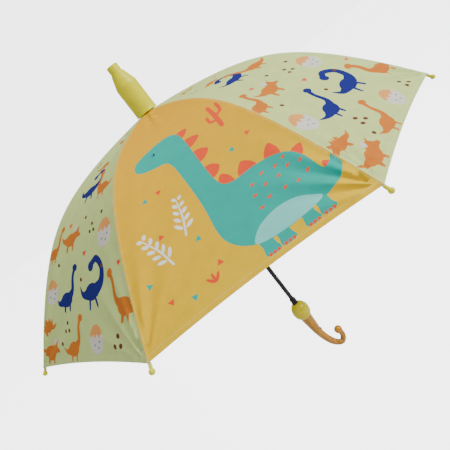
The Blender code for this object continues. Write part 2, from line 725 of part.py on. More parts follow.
def smooth_route(points, steps):
    """Points along a smooth curve through the given ones."""
    ends = [2 * points[0] - points[1], *points, 2 * points[-1] - points[-2]]
    route = []
    for index in range(1, len(ends) - 2):
        before, start, end, after = ends[index - 1:index + 3]
        for step in range(steps):
            t = step / steps
            bend = (2 * before - 5 * start + 4 * end - after) * t ** 2
            twist = (3 * start - before - 3 * end + after) * t ** 3
            route.append((2 * start + (end - before) * t + bend + twist) / 2)
    return route + [points[-1]]


def ball_mesh(name, centre, radius):
    mesh = bpy.data.meshes.new(name)
    shape = bmesh.new()
    bmesh.ops.create_icosphere(shape, subdivisions=2, radius=radius, matrix=Matrix.Translation(centre))
    shape.to_mesh(mesh)
    shape.free()
    return mesh


def make_hook(top):
    """A tapering neck that turns into an open hook, on a spigot in the bulb's socket."""
    middle_r = (HOOK_NECK_R + HOOK_NECK_END[2] * MM) / 2
    points = [Vector((0.0, top, HOOK_NECK_R)), Vector((HOOK_LEAN, -HOOK_NECK_LENGTH, middle_r))]
    points += [Vector(point) * MM for point in (HOOK_NECK_END, *HOOK_ROUTE)]
    route = smooth_route(points, HOOK_STEPS)
    route[1].x = 0.0
    path = [(x, 0.0, z) for x, z, radius in route]
    scale = [radius / HOOK_NECK_R for x, z, radius in route]
    rod = add_tool("hook_rod", wire_mesh("hook_rod", path, HOOK_NECK_R, 3, scale))
    spigot = pin_mesh("hook_spigot", (0, 0, 0), HOOK_SPIGOT_R, 2 * HOOK_SPIGOT, 20)
    spigot.transform(Matrix.Translation((0, 0, top)) @ Matrix.Rotation(math.pi / 2, 4, "X"))
    extras = [add_tool("hook_spigot", spigot)]
    for name, (x, z, radius) in (("hook_curl", HOOK_CURL), ("hook_nub", HOOK_NUB)):
        extras.append(add_tool(name, ball_mesh(name, Vector((x, 0.0, z)) * MM, radius * MM)))
    mesh = applied(rod, extras)
    finish(add_object("handle_hook", mesh, PARTS), new_material("hook_plastic", (0.61, 0.28, 0.02), 0.25))


for leftover in list(bpy.data.objects):
    bpy.data.objects.remove(leftover, do_unlink=True)

PARTS = new_collection("childrens_umbrella")
CUTTERS = new_collection("cutters")

make_ribs()
make_tips()
make_stretchers()
make_rivets()
make_canopy()
make_shaft()
make_catches()
make_crown()
make_runner()
make_ferrule()
make_cover()
make_handle()
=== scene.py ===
import json
import math

import bpy
import numpy as np
from bpy.props import FloatProperty, FloatVectorProperty, PointerProperty
from mathutils import Matrix, Vector
from mathutils.geometry import delaunay_2d_cdt


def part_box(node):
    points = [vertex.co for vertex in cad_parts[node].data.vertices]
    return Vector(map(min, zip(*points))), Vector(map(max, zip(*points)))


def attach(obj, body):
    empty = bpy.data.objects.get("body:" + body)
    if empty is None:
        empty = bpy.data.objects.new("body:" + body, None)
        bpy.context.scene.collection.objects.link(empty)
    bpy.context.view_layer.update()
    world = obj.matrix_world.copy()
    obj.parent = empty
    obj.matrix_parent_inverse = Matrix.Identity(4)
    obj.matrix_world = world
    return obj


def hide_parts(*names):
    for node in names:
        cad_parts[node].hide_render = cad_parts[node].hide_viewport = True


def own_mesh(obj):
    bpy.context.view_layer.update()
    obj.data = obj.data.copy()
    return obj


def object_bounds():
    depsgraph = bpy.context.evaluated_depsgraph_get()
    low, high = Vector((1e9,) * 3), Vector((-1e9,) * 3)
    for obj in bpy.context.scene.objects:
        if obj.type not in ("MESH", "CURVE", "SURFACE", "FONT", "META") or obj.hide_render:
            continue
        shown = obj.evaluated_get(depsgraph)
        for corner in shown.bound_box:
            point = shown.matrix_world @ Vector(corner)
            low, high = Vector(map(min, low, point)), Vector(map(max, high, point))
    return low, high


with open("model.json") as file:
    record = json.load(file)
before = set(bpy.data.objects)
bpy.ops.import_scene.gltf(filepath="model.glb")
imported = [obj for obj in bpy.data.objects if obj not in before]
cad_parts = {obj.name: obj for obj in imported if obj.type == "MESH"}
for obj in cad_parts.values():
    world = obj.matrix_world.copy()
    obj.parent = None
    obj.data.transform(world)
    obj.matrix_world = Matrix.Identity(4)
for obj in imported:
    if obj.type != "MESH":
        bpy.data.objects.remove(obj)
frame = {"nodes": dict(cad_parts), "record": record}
CAD_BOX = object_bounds()

bl_info = {
    "name": "Children's Umbrella",
    "version": (1, 0, 0),
    "blender": (4, 5, 0),
    "location": "View3D > Sidebar > Umbrella",
    "description": "Builds an open children's stick umbrella with a printed canopy",
    "category": "Add Mesh",
}

MM = 0.001
RIBS = 8
HALF_GORE = math.pi / RIBS
CANOPY_OVER_CLOTH = 0.4 * MM        # from the middle of the cloth up to the top of the canopy's solid
GAP = 0.3 * MM                      # between two pieces that nearly touch
AXIS_R = 0.3 * MM                   # the small ring at the axis that closes a turned piece
PUCKER_LENGTHS = (0.017, 0.0093)    # of the small folds along a seam
PUCKER_REACH = 0.006                # how far from the seam they go
SEAM_GRIP = 0.0015                  # the stitching holds them down this close to it
FOLD_START = 0.003                  # and the larger folds this close
CROWN_FOLD_ARC = 0.09               # where the folds at the crown are highest
CROWN_FOLD_SPREAD = 0.07
ON_SEAM = 2e-6                      # points closer to a seam than this lie on it
# Each fold of the fan at a corner: its angle from the rib, its width and its height.
FOLD_FAN = ((0.15, 0.050, 0.7), (0.29, 0.060, -0.9), (0.45, 0.060, 1.0), (0.62, 0.065, -0.9),
            (0.80, 0.070, 1.0), (1.00, 0.080, -0.7), (1.22, 0.080, 0.6))


def colour_property(name, default, description):
    return FloatVectorProperty(name=name, default=default, size=3, min=0.0, max=1.0,
                               subtype="COLOR", description=description)


def length_property(name, default, description):
    return FloatProperty(name=name, default=default, unit="LENGTH", subtype="DISTANCE",
                         precision=4, description=description)


class UmbrellaCanopySettings(bpy.types.PropertyGroup):
    """Sizes of the cloth."""
    rib_arc: length_property("Rib arc", 0.470, "Cloth length along a rib, from the shaft to the corner")
    hole_arc: length_property("Crown hole", 0.0085,
                              "Arc length from the axis to the edge of the crown hole")
    rim_bow: length_property("Rim bow", 0.005, "How far the edge is drawn in between two corners")
    cloth: length_property("Cloth", 0.0003, "Thickness of the cloth")
    hem_width: length_property("Hem width", 0.007, "Width of the folded hem")
    hem_extra: length_property("Hem thickness", 0.0006, "Added thickness of the folded hem")
    sag: length_property("Sag", 0.0035, "How far a gore dips between two ribs")
    pucker: length_property("Puckers", 0.0009, "Height of the small folds along the seams")
    pull: length_property("Corner folds", 0.0021, "Height of the folds that fan out from a corner")
    fold_reach: length_property("Fold reach", 0.045,
                                "Distance from the rib's end at which they are highest")
    fold_spread: length_property("Fold spread", 0.125, "Distance at which they have died away")
    grid: length_property("Grid", 0.0075, "Spacing of the cloth's points")
    crown_slope: FloatProperty(name="Crown slope", default=math.radians(4.8), subtype="ANGLE",
                               description="Fall of the cloth at the shaft")
    rim_slope: FloatProperty(name="Rim slope", default=math.radians(50.2), subtype="ANGLE",
                             description="Fall of the cloth at the corner")
    knee_share: FloatProperty(name="Knee share", default=0.591, min=0, max=1,
                              description="Share of the bend that lies near the stretcher's joint")
    knee_place: FloatProperty(name="Knee place", default=0.501, min=0, max=1,
                              description="Where the bend is sharpest, as a share of the arc")
    knee_width: FloatProperty(name="Knee width", default=0.08, min=0.01, max=1,
                              description="How gently the cloth bends there, as a share of the arc")
    keep: FloatProperty(name="Folded share", default=0.22, min=0.01, max=1,
                        description="Share of its width that a section keeps when the umbrella is folded")


class UmbrellaColourSettings(bpy.types.PropertyGroup):
    """Colours of the print and of the mouldings."""
    sun: colour_property("Sun yellow", (0.88, 0.43, 0.001), "Ground of the picture gores")
    # The pale yellow is painted light on the outside near the rim; on the inside it is the cloth's own paler
    # ground.
    sun_painted_light_and_inside: colour_property("Pale sun yellow", (0.90, 0.57, 0.010),
                              "Ground of the picture gores near the rim")
    leaf: colour_property("Leaf green", (0.62, 0.76, 0.26), "Ground of the patterned gores")
    teal: colour_property("Teal", (0.010, 0.45, 0.36), "Long-necked animal")
    belly: colour_property("Belly", (0.22, 0.74, 0.66), "Its belly")
    plate: colour_property("Coral", (0.94, 0.095, 0.030), "Back plates and confetti")
    navy: colour_property("Navy", (0.012, 0.018, 0.19), "Dark small animals")
    rust: colour_property("Rust", (0.66, 0.19, 0.022), "Orange-brown small animals")
    brown: colour_property("Brown", (0.15, 0.055, 0.030), "Drops and toes")
    heart: colour_property("Heart red", (0.84, 0.10, 0.065), "Hearts")
    shell_top: colour_property("Egg cap", (0.84, 0.36, 0.10), "Cap of the eggs")
    shell: colour_property("Egg", (0.76, 0.68, 0.60), "Body of the eggs")
    lemon: colour_property("Lemon", (0.84, 0.80, 0.001), "Drip cover")
    bulb: colour_property("Bulb yellow", (0.74, 0.62, 0.001), "Bulb of the handle")
    amber: colour_property("Amber", (0.66, 0.29, 0.004), "Hook")
    # The dark amber is the swirl's own colour and also painted shade down one side and at the bottom of the
    # hook.
    amber_swirl_and_painted_shade: colour_property("Dark amber", (0.24, 0.075, 0.003), "Shaded swirl in the hook")


class UmbrellaMouldingSettings(bpy.types.PropertyGroup):
    """Sizes of the drip cover, the handle and the small tips."""
    cover_top: length_property("Sleeve top", 0.079, "Top of the outer sleeve over the canopy's top")
    cover_base: length_property("Sleeve base", -0.0005,
                                "Bottom of the outer sleeve over the canopy's top")
    cover_wall: length_property("Sleeve wall", 0.001, "Wall of the sleeve")
    shoulder_soft: length_property("Shoulder edge", 0.0022, "Half the height over which the cone begins")
    neck_edge: length_property("Neck edge", 0.0016, "Radius of the round edge at the top of the neck")
    shoulder_length: length_property("Shoulder", 0.024, "Height of the sleeve's cone")
    shoulder_r: length_property("Shoulder radius", 0.0197, "Radius under the cone")
    cover_base_r: length_property("Base radius", 0.02025, "Radius at the bottom")
    neck_r: length_property("Neck radius", 0.0104, "Radius of the round neck on top")
    neck_top: length_property("Neck top", 0.093, "Top of the neck over the canopy's top")
    neck_base: length_property("Neck base", 0.066, "Bottom of the neck over the canopy's top")
    ferrule_r: length_property("Ferrule radius", 0.006, "Radius of the ferrule in the neck")
    ferrule_top: length_property("Ferrule top", 0.0817, "Top of the ferrule over the canopy's top")
    bulb_r: length_property("Bulb radius", 0.0185, "Radius of the bulb")
    bulb_half: length_property("Bulb half height", 0.0225, "Half the bulb's full height")
    bulb_top_r: length_property("Bulb top radius", 0.0067, "Where the bulb meets the collar")
    bulb_low_r: length_property("Bulb low radius", 0.0124, "Where the bulb meets the hook")
    collar_r: length_property("Collar radius", 0.0063, "Radius of the collar over the bulb")
    collar_length: length_property("Collar length", 0.014, "Height of the collar")
    nub_r: length_property("Nub radius", 0.0032, "Radius of the small nub on the hook's neck")
    curl_r: length_property("Curl radius", 0.0086, "Radius of the curl at the hook's tip")
    tip_ball_r: length_property("Ball radius", 0.0037, "Radius of a rib's ball tip")
    tip_neck_r: length_property("Ball tip's neck", 0.00215, "Radius of the sleeve behind the ball")
    thread_r: length_property("Thread radius", 0.0003, "Radius of the sewing thread")


class UmbrellaStageSettings(bpy.types.PropertyGroup):
    """Camera, floor and light."""
    radius: length_property("Canopy radius", 0.4002, "Radius of the cloth's corners")
    camera_side: FloatProperty(name="Camera side", default=0.038,
                               description="Camera across, in canopy radii")
    camera_back: FloatProperty(name="Camera distance", default=1.9115,
                               description="Camera back, in canopy radii")
    camera_drop: FloatProperty(name="Camera drop", default=0.0564,
                               description="Camera below the canopy's top, in canopy radii")
    lens: FloatProperty(name="Lens", default=33.46,
                        description="Focal length in millimetres on a 36 mm sensor")
    floor_drop: length_property("Floor drop", 0.30, "Floor below the handle")
    surround: FloatProperty(name="Surround", default=0.30,
                            description="Strength of the light from all round")
    backdrop: FloatProperty(name="Backdrop", default=4.0,
                            description="How bright the white backdrop looks")


def canopy_settings():
    return bpy.context.scene.umbrella_canopy


def colours():
    return bpy.context.scene.umbrella_colours


def mouldings():
    return bpy.context.scene.umbrella_mouldings


def stage_settings():
    return bpy.context.scene.umbrella_stage


# ---------------------------------------------------------------- shape of the cloth

def apex_height():
    """Height of the cloth at the axis."""
    _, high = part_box("canopy_1")
    return high[2] - CANOPY_OVER_CLOTH


def rib_angle(index):
    return -math.pi / 2 + HALF_GORE * (2 * index + 1)


class ClothShape:
    """The taut cloth: where a place on a gore's flat pattern lies once the ribs hold it open."""

    def __init__(self, settings):
        self.s = settings
        self.arcs = np.linspace(0, settings.rib_arc, 471)
        share = self.arcs / settings.rib_arc
        bend = (1 - settings.knee_share) * share + settings.knee_share * self.knee(share)
        slope = settings.crown_slope + (settings.rim_slope - settings.crown_slope) * bend
        middle = (slope[1:] + slope[:-1]) / 2
        step = np.diff(self.arcs)
        self.slope = slope
        self.radius = np.concatenate([[0], np.cumsum(step * np.cos(middle))])
        self.height = apex_height() - np.concatenate([[0], np.cumsum(step * np.sin(middle))])

    def knee(self, share):
        def step(at):
            return 1 / (1 + np.exp(-(at - self.s.knee_place) / self.s.knee_width))
        return (step(share) - step(0)) / (step(1) - step(0))

    def half_width(self, arc):
        return np.interp(arc, self.arcs, self.radius) * math.sin(HALF_GORE)

    def rim(self, share):
        """Arc length at the edge, for a place across the gore from -1 to 1."""
        return self.s.rib_arc - self.s.rim_bow * (1 - np.abs(share) ** 2)

    def lift(self, x, arc):
        """Height of the folds over the taut surface."""
        half = np.maximum(self.half_width(arc), 1e-5)
        across = np.clip(x / half, -1, 1)
        share = arc / self.s.rib_arc
        lift = -self.s.sag * np.sin(np.pi * np.clip(share, 0, 1)) * (1 - across ** 2)
        seam = np.abs(np.abs(x) - half)
        beat = np.sin(2 * np.pi * arc / PUCKER_LENGTHS[0] + 2.1 * np.sin(arc * 90))
        beat += 0.6 * np.sin(2 * np.pi * arc / PUCKER_LENGTHS[1])
        near = np.exp(-seam / PUCKER_REACH) * (1 - np.exp(-seam / SEAM_GRIP))
        lift += 0.35 * self.s.pucker * near * beat
        folds = self.crown_folds(arc, across)
        for side in (-1, 1):
            folds += self.corner_folds(side, x, arc)
        return lift + folds * (1 - np.exp(-seam / FOLD_START))

    def crown_folds(self, arc, across):
        """Shallow folds that run out from the crown."""
        fade = np.exp(-((arc - CROWN_FOLD_ARC) / CROWN_FOLD_SPREAD) ** 2) * np.clip(arc / 0.03, 0, 1)
        return self.s.pucker * fade * (1 - across ** 2) * np.sin(9 * across + 2 * np.sin(5 * across))

    def corner_folds(self, side, x, arc):
        """Soft folds that fan out from where the cloth is tied to a rib's end."""
        corner = self.half_width(np.array(self.s.rib_arc))
        dx = side * (corner * side - x)
        dy = self.s.rib_arc - arc
        reach = np.hypot(dx, dy) + 1e-6
        angle = np.arctan2(dx, dy)
        folds = 0.0
        for ridge, width, height in FOLD_FAN:
            ridge = ridge + 0.03 * side
            folds = folds + height * np.exp(-((angle - ridge) / width) ** 2)
        strongest = self.s.fold_reach * (1 - 0.15 * side)
        fade = (reach / strongest) * np.exp(1 - reach / strongest)
        return self.s.pull * fade * folds

    def taut(self, gore, x, arc):
        """Points of the flat gore once it is held between two ribs."""
        angle = -math.pi / 2 + 2 * HALF_GORE * gore
        outward = np.array([math.cos(angle), math.sin(angle), 0.0])
        along = np.array([-math.sin(angle), math.cos(angle), 0.0])
        radius = np.interp(arc, self.arcs, self.radius) * math.cos(HALF_GORE)
        height = np.interp(arc, self.arcs, self.height)
        return radius[:, None] * outward + x[:, None] * along + height[:,
                                                                       None] * np.array([0.0, 0.0, 1.0])

    def taut_normal(self, gore, arc):
        angle = -math.pi / 2 + 2 * HALF_GORE * gore
        outward = np.array([math.cos(angle), math.sin(angle), 0.0])
        fall = np.interp(arc, self.arcs, self.slope)
        tilt = np.arctan2(np.sin(fall), np.cos(fall) * math.cos(HALF_GORE))
        return np.sin(tilt)[:, None] * outward + np.cos(tilt)[:, None] * np.array([0.0, 0.0, 1.0])

    def points(self, gore, x, arc):
        return self.taut(gore, x, arc) + self.lift(x, arc)[:, None] * self.taut_normal(gore, arc)

    def normals(self, gore, x, arc):
        step = 0.0008
        across = self.points(gore, x + step, arc) - self.points(gore, x - step, arc)
        down = self.points(gore, x, arc + step) - self.points(gore, x, arc - step)
        normal = np.cross(down, across)
        return normal / np.linalg.norm(normal, axis=1)[:, None]


# ---------------------------------------------------------------- the print
# In millimetres on the flat gore: x runs across it from its middle, and down runs from the shaft to the rim.

def between(before, start, end, after, t):
    """A place on the smooth curve from start to end, given the points before and after them."""
    bend = (2 * before - 5 * start + 4 * end - after) * t ** 2
    twist = (3 * start - before - 3 * end + after) * t ** 3
    return (2 * start + (end - before) * t + bend + twist) / 2


def with_ends(points):
    """The points, with one more added at each end in line with the last two."""
    line = [np.array(point, float) for point in points]
    return [2 * line[0] - line[1], *line, 2 * line[-1] - line[-2]]


def turned(x, y, turn):
    return x * math.cos(turn) - y * math.sin(turn), x * math.sin(turn) + y * math.cos(turn)


def closed_curve(points, steps=4):
    """A smooth closed outline through the given points."""
    count = len(points)
    curve = []
    for index in range(count):
        before, start, end, after = (np.array(points[(index + k) % count], float) for k in (-1, 0, 1, 2))
        curve += [between(before, start, end, after, step / steps) for step in range(steps)]
    return curve


def ellipse(x, down, across, tall, turn=0.0, count=16):
    corners = []
    for index in range(count):
        angle = 2 * math.pi * index / count
        px, py = turned(across * math.cos(angle), tall * math.sin(angle), turn)
        corners.append((x + px, down + py))
    return corners


def stroke(points, widths, steps=4):
    """A brush stroke with round ends, through points with a width at each."""
    ends = with_ends(points)
    middle = []
    for index in range(1, len(ends) - 2):
        before, start, end, after = ends[index - 1:index + 3]
        for step in range(steps):
            t = step / steps
            width = widths[index - 1] * (1 - t) + widths[index] * t
            middle.append((between(before, start, end, after, t), width))
    middle.append((ends[-2], widths[-1]))
    left, right = [], []
    for index, (place, width) in enumerate(middle):
        ahead = middle[min(index + 1, len(middle) - 1)][0] - middle[max(index - 1, 0)][0]
        ahead /= np.linalg.norm(ahead)
        side = np.array([-ahead[1], ahead[0]]) * width / 2
        left.append(place + side)
        right.append(place - side)
        if index == 0:
            right.insert(0, place - ahead * width / 2)
        if index == len(middle) - 1:
            left.append(place + ahead * width / 2)
    return left + right[::-1]


def coloured(colour, *outlines):
    return [(colour, outline) for outline in outlines]


def legs(*places):
    """Short legs. Each is the top, the foot and a width at each."""
    return [stroke(ends, widths, 2) for ends, widths in places]


def placed(shapes, x, down, size=1.0, mirror=False, turn=0.0):
    """A motif's shapes moved to their place in the print."""
    made = []
    for colour, outline in shapes:
        corners = [turned(-px * size if mirror else px * size, py * size, turn) for px, py in outline]
        made.append((colour, [(x + px, down + py) for px, py in corners]))
    return made


def heart(colour="heart"):
    size = 0.42 / 1.15
    corners = []
    for index in range(20):
        angle = 2 * math.pi * index / 20
        down = 13 * math.cos(angle) - 5 * math.cos(2 * angle) - 2 * math.cos(3 * angle) - math.cos(4 * angle)
        corners.append((size * 16 * math.sin(angle) ** 3, -size * down))
    return [(colour, corners)]


def drops():
    return coloured("brown", *(ellipse(x, down, 4.0, 3.1, 0.5, 10) for x,
                               down in ((0, -6), (-6, 6), (7, 6))))


def egg():
    """A two-coloured egg with a wavy edge under its cap."""
    body = closed_curve([(0, -20), (12, -15), (19, -2), (18, 10), (9, 19), (-9, 19), (-18, 10), (-19, -2),
                         (-12, -15)])
    cap = [(x, down) for x, down in body if down < -3]
    lowest_right = max(range(len(cap)), key=lambda index: cap[index][0])
    cap = cap[lowest_right + 1:] + cap[:lowest_right + 1]
    wave = [(14, -6), (8, -1), (3, -7), (-3, -1), (-8, -7), (-14, -3)]
    spots = [ellipse(x, down, 2.2, 1.8, 0.0, 8) for x, down in ((-6, 8), (5, 12), (9, 4))]
    return [("shell", body), ("shell_top", cap + wave)] + coloured("teal", *spots)


def long_neck(colour):
    """A small long-necked animal, facing right."""
    return coloured(colour, stroke([(-34, -3), (-24, 3), (-10, 2)], [1.5, 7, 15]), ellipse(0, 0, 17, 11),
                    stroke([(8, -2), (19, -12), (21, -30), (27, -43)], [15, 9, 7, 8]),
                    ellipse(28, -43, 7.5, 5.5, 0.2, 14),
                    *legs(([(-7, 6), (-8, 17)], [6, 4]), ([(8, 6), (8, 17)], [6, 4])))


def turned_neck(colour):
    """A long-necked animal that looks back over its shoulder, facing right."""
    return coloured(colour, stroke([(-36, -10), (-28, 2), (-12, 4)], [1.5, 8, 16]), ellipse(0, 2, 20, 12),
                    stroke([(12, 2), (27, -8), (29, -27), (14, -41), (0, -36)], [20, 14, 11, 10, 10]),
                    ellipse(-2, -33, 8, 7, 0.3, 14),
                    *legs(([(-6, 10), (-7, 25)], [6, 4]), ([(10, 10), (16, 23)], [6, 4])))


def horned(colour):
    """A stout four-legged animal with a neck frill and small horns, facing right."""
    body = coloured(colour, stroke([(-34, -12), (-26, -3), (-12, 0)], [1.5, 7, 16]),
                    ellipse(0, 0, 19, 12),
                    ellipse(18, -8, 10, 11, 0.3, 14), stroke([(20, -6), (33, -2)], [12, 6], 3),
                    stroke([(24, -14), (31, -20)], [4, 1], 2),
                    *legs(([(-10, 8), (-11, 19)], [7, 6]), ([(9, 8), (10, 19)], [7, 6])))
    return body + [("shell", closed_curve([(10, -17), (16, -22), (22, -20), (19, -14), (14, -11)], 2))]


def plated(colour):
    """A small animal with plates along its back, facing left."""
    plates = [[(x - 4, -6), (x, -15 + abs(x) * 0.2), (x + 4, -6)] for x in (-12, -4, 4, 12)]
    return coloured(colour, *plates, ellipse(0, 0, 17, 9),
                    stroke([(12, 0), (24, 2), (33, -3)], [11, 6, 1.5]),
                    ellipse(-19, 2, 6, 4.5, 0.0, 12),
                    *legs(([(-8, 6), (-8, 13)], [5, 4]), ([(8, 6), (8, 13)], [5, 4])))


def leaf_print():
    """The pattern of the green gores: small animals, hearts, eggs and drops."""
    layout = [
        (turned_neck("navy"), -4, 208, 0.85, False), (long_neck("rust"), 44, 222, 0.95, True),
        (long_neck("rust"), -92, 296, 0.85, False), (heart(), -42, 260, 0.8, False),
        (horned("rust"), -36, 285, 0.9, False), (drops(), 34, 283, 0.9, False),
        (egg(), 74, 301, 1.0, False), (heart(), 14, 317, 0.9, False),
        (egg(), -95, 356, 0.95, False), (long_neck("navy"), -44, 375, 1.0, False),
        (turned_neck("navy"), 36, 373, 1.0, False), (heart("plate"), 112, 350, 0.75, False),
        (long_neck("rust"), 118, 404, 1.05, True), (plated("rust"), -117, 408, 1.0, False),
        (drops(), -47, 414, 0.95, False), (horned("rust"), -112, 448, 0.95, False),
        (long_neck("rust"), -30, 446, 0.95, False), (egg(), 40, 437, 0.95, False),
        (drops(), 94, 443, 1.0, False), (plated("rust"), 4, 160, 0.7, True),
              (heart(), 34, 148, 0.6, False),
        (drops(), -26, 142, 0.7, False), (plated("rust"), 8, 102, 0.6, False),
              (heart(), -6, 68, 0.45, False),
    ]
    shapes = []
    for motif, x, down, size, mirror in layout:
        shapes += placed(motif, x, down, size, mirror)
    dots = ((3, 353), (-66, 437), (-72, 318), (66, 345), (8, 260), (62, 268))
    return shapes + coloured("brown", *(ellipse(x, down, 3.6, 3.0, 0.4, 10) for x, down in dots))


def back_plate(base, tip, width):
    """A rounded plate that stands on the animal's back."""
    base = np.array(base, float)
    tip = np.array(tip, float)
    up = tip - base
    side = np.array([-up[1], up[0]]) / np.linalg.norm(up) * width / 2
    foot = base - up * 0.25
    shoulder = side * 0.8
    return closed_curve([foot - side, base - side, base - shoulder + up * 0.5, tip,
                         base + shoulder + up * 0.5, base + side, foot + side], 3)


def frond(x, down, size, turn):
    """A white sprig with paired leaves."""
    shapes = [("white", stroke([(0, 30), (3, 0), (0, -32)], [3.2, 3.0, 1.5], 3))]
    for step in range(5):
        height = 20 - 12 * step
        reach = 14 - 1.6 * step
        for side in (-1, 1):
            leaf = ellipse(1.5 + side * reach * 0.62, height - 6, reach * 0.55, 2.9, -side * 0.7, 10)
            shapes.append(("white", leaf))
    return placed(shapes, x, down, size, False, turn)


def picture_print():
    """The picture of the yellow gores: a plain long-necked animal among confetti, a cactus and sprigs."""
    plates = [((17, 237), (31, 233), 17), ((19, 262), (38, 262), 19), ((20, 292), (37, 292), 21),
              ((20, 324), (35, 324), 21), ((28, 352), (29, 337), 19), ((56, 358), (56, 340), 25),
              ((87, 363), (93, 344), 20), ((108, 379), (120, 370), 15), ((127, 416), (123, 406), 11)]
    shapes = [("plate", back_plate(*plate)) for plate in plates]
    for x in (16, 36, 68, 88):
        leg = [(x, 434), (x + 14, 434), (x + 15, 448), (x + 17, 456), (x + 8, 458.5), (x - 2, 456),
               (x - 0.5, 446)]
        shapes.append(("teal", closed_curve(leg, 3)))
        for toe in range(3):
            shapes.append(("plate", ellipse(x + 2.2 + 5.2 * toe, 456.3, 2.2, 2.0, 0.0, 8)))
    outline = [(-55, 240), (-49, 229), (-34, 222), (-14, 217), (2, 218), (13, 225), (18, 238),
               (19.5, 262), (19, 300), (19.5, 333), (24, 350), (38, 356), (62, 356), (87, 361),
               (105, 372), (114, 389), (117, 405), (121, 414), (129, 411), (137, 403), (140, 409),
               (137, 423), (126, 434), (106, 440), (78, 443), (48, 444), (20, 440), (1, 430),
               (-11, 414), (-13.5, 394), (-10.5, 368), (-9, 340), (-9.5, 305), (-11, 280),
               (-16, 267), (-30, 262), (-46, 256), (-54, 249)]
    shapes.append(("teal", closed_curve(outline, 4)))
    belly = [(12, 436), (24, 424), (42, 418), (60, 417), (78, 421), (92, 430), (100, 438), (84, 442.5),
             (56, 443.5), (28, 441.5)]
    shapes.append(("belly", closed_curve(belly, 3)))
    shapes.append(("navy", ellipse(-24, 235, 2.6, 3.0)))
    shapes.append(("belly", ellipse(-24.8, 234, 0.9, 1.0, 0.0, 8)))
    spots = ((49, 376), (65, 371), (82, 374), (95, 371), (44, 389), (61, 386), (78, 387), (93, 383),
             (107, 388), (56, 401), (75, 404), (91, 407), (106, 403), (42, 406))
    shapes += coloured("plate", *(ellipse(x, down, 3.2, 1.6, 0.5 - 0.01 * x, 10) for x, down in spots))
    shapes += coloured("plate", stroke([(68, 276), (69, 250), (68, 228)], [6.5, 6.5, 5.5], 3),
                       stroke([(69, 254), (79, 250), (80, 232)], [5, 5, 4.5], 4),
                       stroke([(68, 262), (59, 258), (59, 246)], [4.6, 4.6, 4], 4))
    confetti = [("teal", -110, 400), ("teal", -35, 388), ("teal", -73, 443), ("plate", -30, 428),
                ("plate", -98, 431), ("plate", -70, 357), ("teal", 57, 318), ("plate", 84, 312),
                ("teal", -64, 300), ("plate", -44, 300)]
    for number, (colour, x, down) in enumerate(confetti):
        turns = [0.9 * number + third * 2.0944 for third in range(3)]
        shapes.append((colour, [(x + 5 * math.cos(turn), down + 4.4 * math.sin(turn)) for turn in turns]))
    for turn in (-0.7, 0.0, 0.7):
        blade = ellipse(-45 + 7 * math.sin(turn), 443 - 5 * math.cos(turn), 1.9, 6.0, turn, 10)
        shapes.append(("plate", blade))
    shapes += frond(-82, 372, 0.85, -0.35)
    shapes += frond(-38, 352, 0.8, 0.25)
    return shapes


# ---------------------------------------------------------------- the printed cloth

PRINT_COLOURS = ("base", "white", "teal", "belly", "plate", "navy", "rust", "brown", "heart",
                 "shell_top", "shell")


